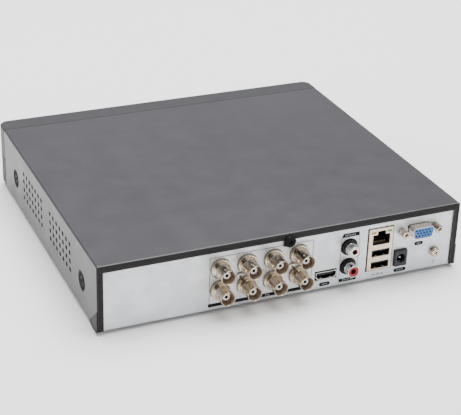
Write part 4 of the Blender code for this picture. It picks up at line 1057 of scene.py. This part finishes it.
def make_board():
    """The board with its soldered parts, and the riser that carries the 15-way socket."""
    low, high = node_box("mainboard")
    top = low.z + 1.6
    obj = block(low, (high.x, high.y, top), 0.15, 1)
    drilled = bmesh.new()
    posts = [(x, y) for x in (low.x + 5, high.x - 5) for y in (low.y + 5, -30.0)]
    for x, y in posts:
        at = Matrix.Translation((x, y, top))
        lathe(drilled, [(0, 1), (1.6, 1), (1.6, -3), (0, -3)], at, 20)
    carve(obj, drilled)
    piece("circuit_board", bm_of(obj), MASK, ["mainboard"])
    riser = (VGA.x - 16, -14.2, top - 0.1), (VGA.x + 16, -12.6, high.z)
    strips("riser_board", [riser], MASK, 0.2)
    sit = top - 0.05
    chips = [((x, y, sit), (x + wide, y + deep, high)) for x, y, wide, deep, high in CHIPS]
    strips("chips", chips, CHIP, 0.2)
    transformer = (-74, -66, sit), (-60, -52, 9.5)
    strips("network_transformer", [transformer], CHIP, 0.5)
    headers = [((x, -84.5, sit), (x + 14, -78.5, 11.5)) for x in (-76, -104)]
    strips("disk_headers", headers, WHITE_PLASTIC, 0.4)
    holder = (34, -80, sit), (56, -58, 6.6)
    strips("cell_holder", [holder], BLACK_PLASTIC, 0.4)
    places = [(-90 + i * 3.4, -40) for i in range(9)] + [(-18 + i * 4.0, -37) for i in range(8)]
    small = [((x, y, sit), (x + 1.6, y + 0.9, 6.2)) for x, y in places]
    strips("small_parts", small, CERAMIC, 0.1)
    sleeve = [(3.4, 10.4), (3.85, 10.3), (4.0, 10.0), (4.0, 1.5), (3.75, 1.2), (4.0, 0.9), (4.0, 0), (3.4, 0)]
    can = [(0, 10.15), (3.1, 10.15), (3.35, 10.0), (3.35, 0.1), (0, 0.1)]
    for number, (x, y) in enumerate(CAPACITORS, 1):
        at = Matrix.Translation((x, y, sit))
        turned(f"capacitor_sleeve_{number}", sleeve, at, 32, BLACK_CABLE)
        turned(f"capacitor_can_{number}", can, at, 32, ALUMINIUM)
    screw = [(0, 1.2), (0.9, 1.25), (1.0, 1.6), (2.2, 1.5), (2.8, 0.9), (2.9, 0)]
    screw += [(1.1, 0), (1.1, -2.4), (0, -2.4)]
    for number, (x, y) in enumerate(posts, 1):
        at = Matrix.Translation((x, y, top + 0.05))
        turned(f"board_screw_{number}", screw, at, 28, BRIGHT)


SPINDLE = node_middle("hdd_platter")


def make_disk():
    """Lid with its screws and a blank label, and the polished platter on its hub with the clamp."""
    low, high = node_box("hdd_lid")
    base = low.z + 1.4
    obj = block(low, (high.x, high.y, base), 0.6, 3)
    dome = bmesh.new()
    at = Matrix.Translation((SPINDLE.x, SPINDLE.y, base))
    lathe(dome, [(0, 0.7), (42.5, 0.7), (43.4, 0.5), (44.4, -0.4), (0, -0.4)], at, 64)
    join(obj, dome)
    piece("disk_lid", bm_of(obj), ALUMINIUM, ["hdd_lid"], weighted=True)
    bm = bmesh.new()
    head = [(0, 0.3), (0.8, 0.3), (0.9, 0.75), (2.0, 0.7), (2.4, 0.35), (2.4, -0.2), (0, -0.2)]
    for x in (low.x + 4.5, (low.x + high.x) / 2 - 20, high.x - 4.5):
        for y in (low.y + 4.5, high.y - 4.5):
            lathe(bm, head, Matrix.Translation((x, y, base)), 24)
    piece("disk_lid_screws", bm, BLACK_ZINC)
    x, y = SPINDLE.x, SPINDLE.y
    label = (x - 36, y - 16, base + 0.65), (x + 14, y + 20, base + 0.82)
    strips("disk_label", [label], LABEL, 0.05)
    low, high = node_box("hdd_platter")
    top = high.z - 2.4
    at = Matrix.Translation((x, y, 0))
    clamp = [(0, high.z), (14.6, high.z), (15.5, high.z - 0.4), (15.5, top)]
    disc = [(47.3, top), (47.5, top - 0.2), (47.5, top - 1.1), (47.3, top - 1.3)]
    profile = clamp + disc + [(12.5, top - 1.3), (12.5, low.z), (0, low.z)]
    turned("platter_and_hub", profile, at, 96, POLISHED, ["hdd_platter"], "disk_platter")
    bm = bmesh.new()
    head = [(0, 0.1), (0.7, 0.1), (0.8, 0.5), (1.5, 0.45), (1.7, 0.2), (1.7, -0.2), (0, -0.2)]
    for place in disc_outline(x, y, 10, 6):
        lathe(bm, head, Matrix.Translation((*place, high.z)), 20)
    piece("clamp_screws", bm, BLACK_ZINC, body="disk_platter")


# ---- camera, floor and light ----

CAMERA_PLACE = (334.33, 663.78, 438.45)
CAMERA_TURN = (63.1405, -1.5923, 156.9323)
CAMERA_LENS, CAMERA_SENSOR = 104.317, 36.0


def make_camera():
    """The photograph's viewing angle."""
    camera = bpy.data.objects.new("camera", bpy.data.cameras.new("camera"))
    camera.data.sensor_width = CAMERA_SENSOR
    camera.data.lens = CAMERA_LENS
    camera.location = CASE @ Vector(CAMERA_PLACE)
    camera.rotation_euler = [math.radians(angle) for angle in CAMERA_TURN]
    bpy.context.scene.collection.objects.link(camera)
    bpy.context.scene.camera = camera


def soft_light(name, location, target, size, power):
    light = bpy.data.lights.new(name, "AREA")
    light.shape = "RECTANGLE"
    light.size, light.size_y = size
    light.energy = power
    obj = bpy.data.objects.new(name, light)
    obj.location = location
    obj.rotation_euler = (Vector(target) - Vector(location)).to_track_quat("-Z", "Y").to_euler()
    bpy.context.scene.collection.objects.link(obj)


SKY_LEVELS = ((0.0, 0.80), (0.09, 0.27), (0.22, 0.27), (0.8, 0.95), (1.0, 0.95))  # from the front to the rear
SKY_AXIS = (0.34, 0.94, 0)
SKY_STRENGTH = 1.2
DARK_CORNER = (0.45, 0.82, 0.33)  # the unlit part of the studio, beside the camera


def make_floor():
    bm = bmesh.new()
    bmesh.ops.create_grid(bm, x_segments=8, y_segments=8, size=6)
    floor = mesh_object(bm, "floor")
    n = Nodes("pale_floor")
    shade = n.blend(n.ramp(n.noise(1.5, 2), 0, 1), rgb(0.90, 0.90, 0.90), rgb(0.92, 0.92, 0.92))
    floor.data.materials.append(n.finish(shade, 0.9))


def make_sky():
    """What the object mirrors: a grey that changes from front to rear, with one dark corner."""
    world = bpy.data.worlds.new("studio")
    n = Tree(world)
    direction = n.add("ShaderNodeTexCoord").outputs["Generated"]
    across = n.ramp(n.along(direction, SKY_AXIS), 0, 1, -1, 1)
    sky = n.add("ShaderNodeValToRGB")
    n.feed(sky.inputs[0], across)
    stops = sky.color_ramp.elements
    for place, level in SKY_LEVELS[1:-1]:
        stops.new(place)
    for stop, (place, level) in zip(stops, SKY_LEVELS):
        stop.position = place
        stop.color = rgb(level, level, level)
    dark = n.along(direction, DARK_CORNER)
    strength = n.ramp(dark, SKY_STRENGTH, 0.05, 0.8, 0.95, interpolation_type="SMOOTHSTEP")
    background = n.nodes["Background"]
    n.feed(background.inputs["Color"], sky.outputs["Color"])
    n.feed(background.inputs["Strength"], strength)
    bpy.context.scene.world = world


def make_studio():
    make_floor()
    make_sky()
    soft_light("overhead", (-0.3, -0.4, 2.2), (0, 0, 0), (2.4, 2.4), 150)
    soft_light("left", (1.9, -0.6, 0.8), (0, -0.1, 0.02), (1.4, 1.0), 16)


def main():
    make_cover()
    make_screws()
    make_bezel()
    make_window()
    make_feet()
    make_video_sockets()
    make_hdmi()
    make_audio_sockets()
    make_network_can()
    make_network_core()
    make_vga()
    make_power_socket()
    make_printing()
    make_board()
    make_disk()
    for name, node in frame["nodes"].items():
        finish_cad_node(name, node)
    make_studio()
    make_camera()


FINISHES = {
    "black_paint": PAINT,
    "bezel_plastic": BEZEL,
    "zinc_steel": ZINC,
    "smoked_acrylic": SMOKED,
    "foot_rubber": RUBBER,
    "black_screw": BLACK_ZINC,
    "nickel": NICKEL,
    "white_plastic": WHITE_PLASTIC,
    "red_plastic": RED_PLASTIC,
    "blue_plastic": BLUE_PLASTIC,
    "black_plastic": BLACK_PLASTIC,
    "board_green": MASK,
    "aluminium": ALUMINIUM,
    "cable_red": RED_CABLE,
    "cable_black": BLACK_CABLE,
}
SPECIAL = {"hdd_arm": BRIGHT}
SLOT_OF = {row["node"]: row["material_slot"] for row in frame["record"]["subparts"]}


def finish_cad_node(name, node):
    """Gives a CAD node that is still shown the material of its slot."""
    material = SPECIAL.get(name, FINISHES[SLOT_OF[name]])
    if node.data.materials:
        node.data.materials[0] = material
    else:
        node.data.materials.append(material)


main()
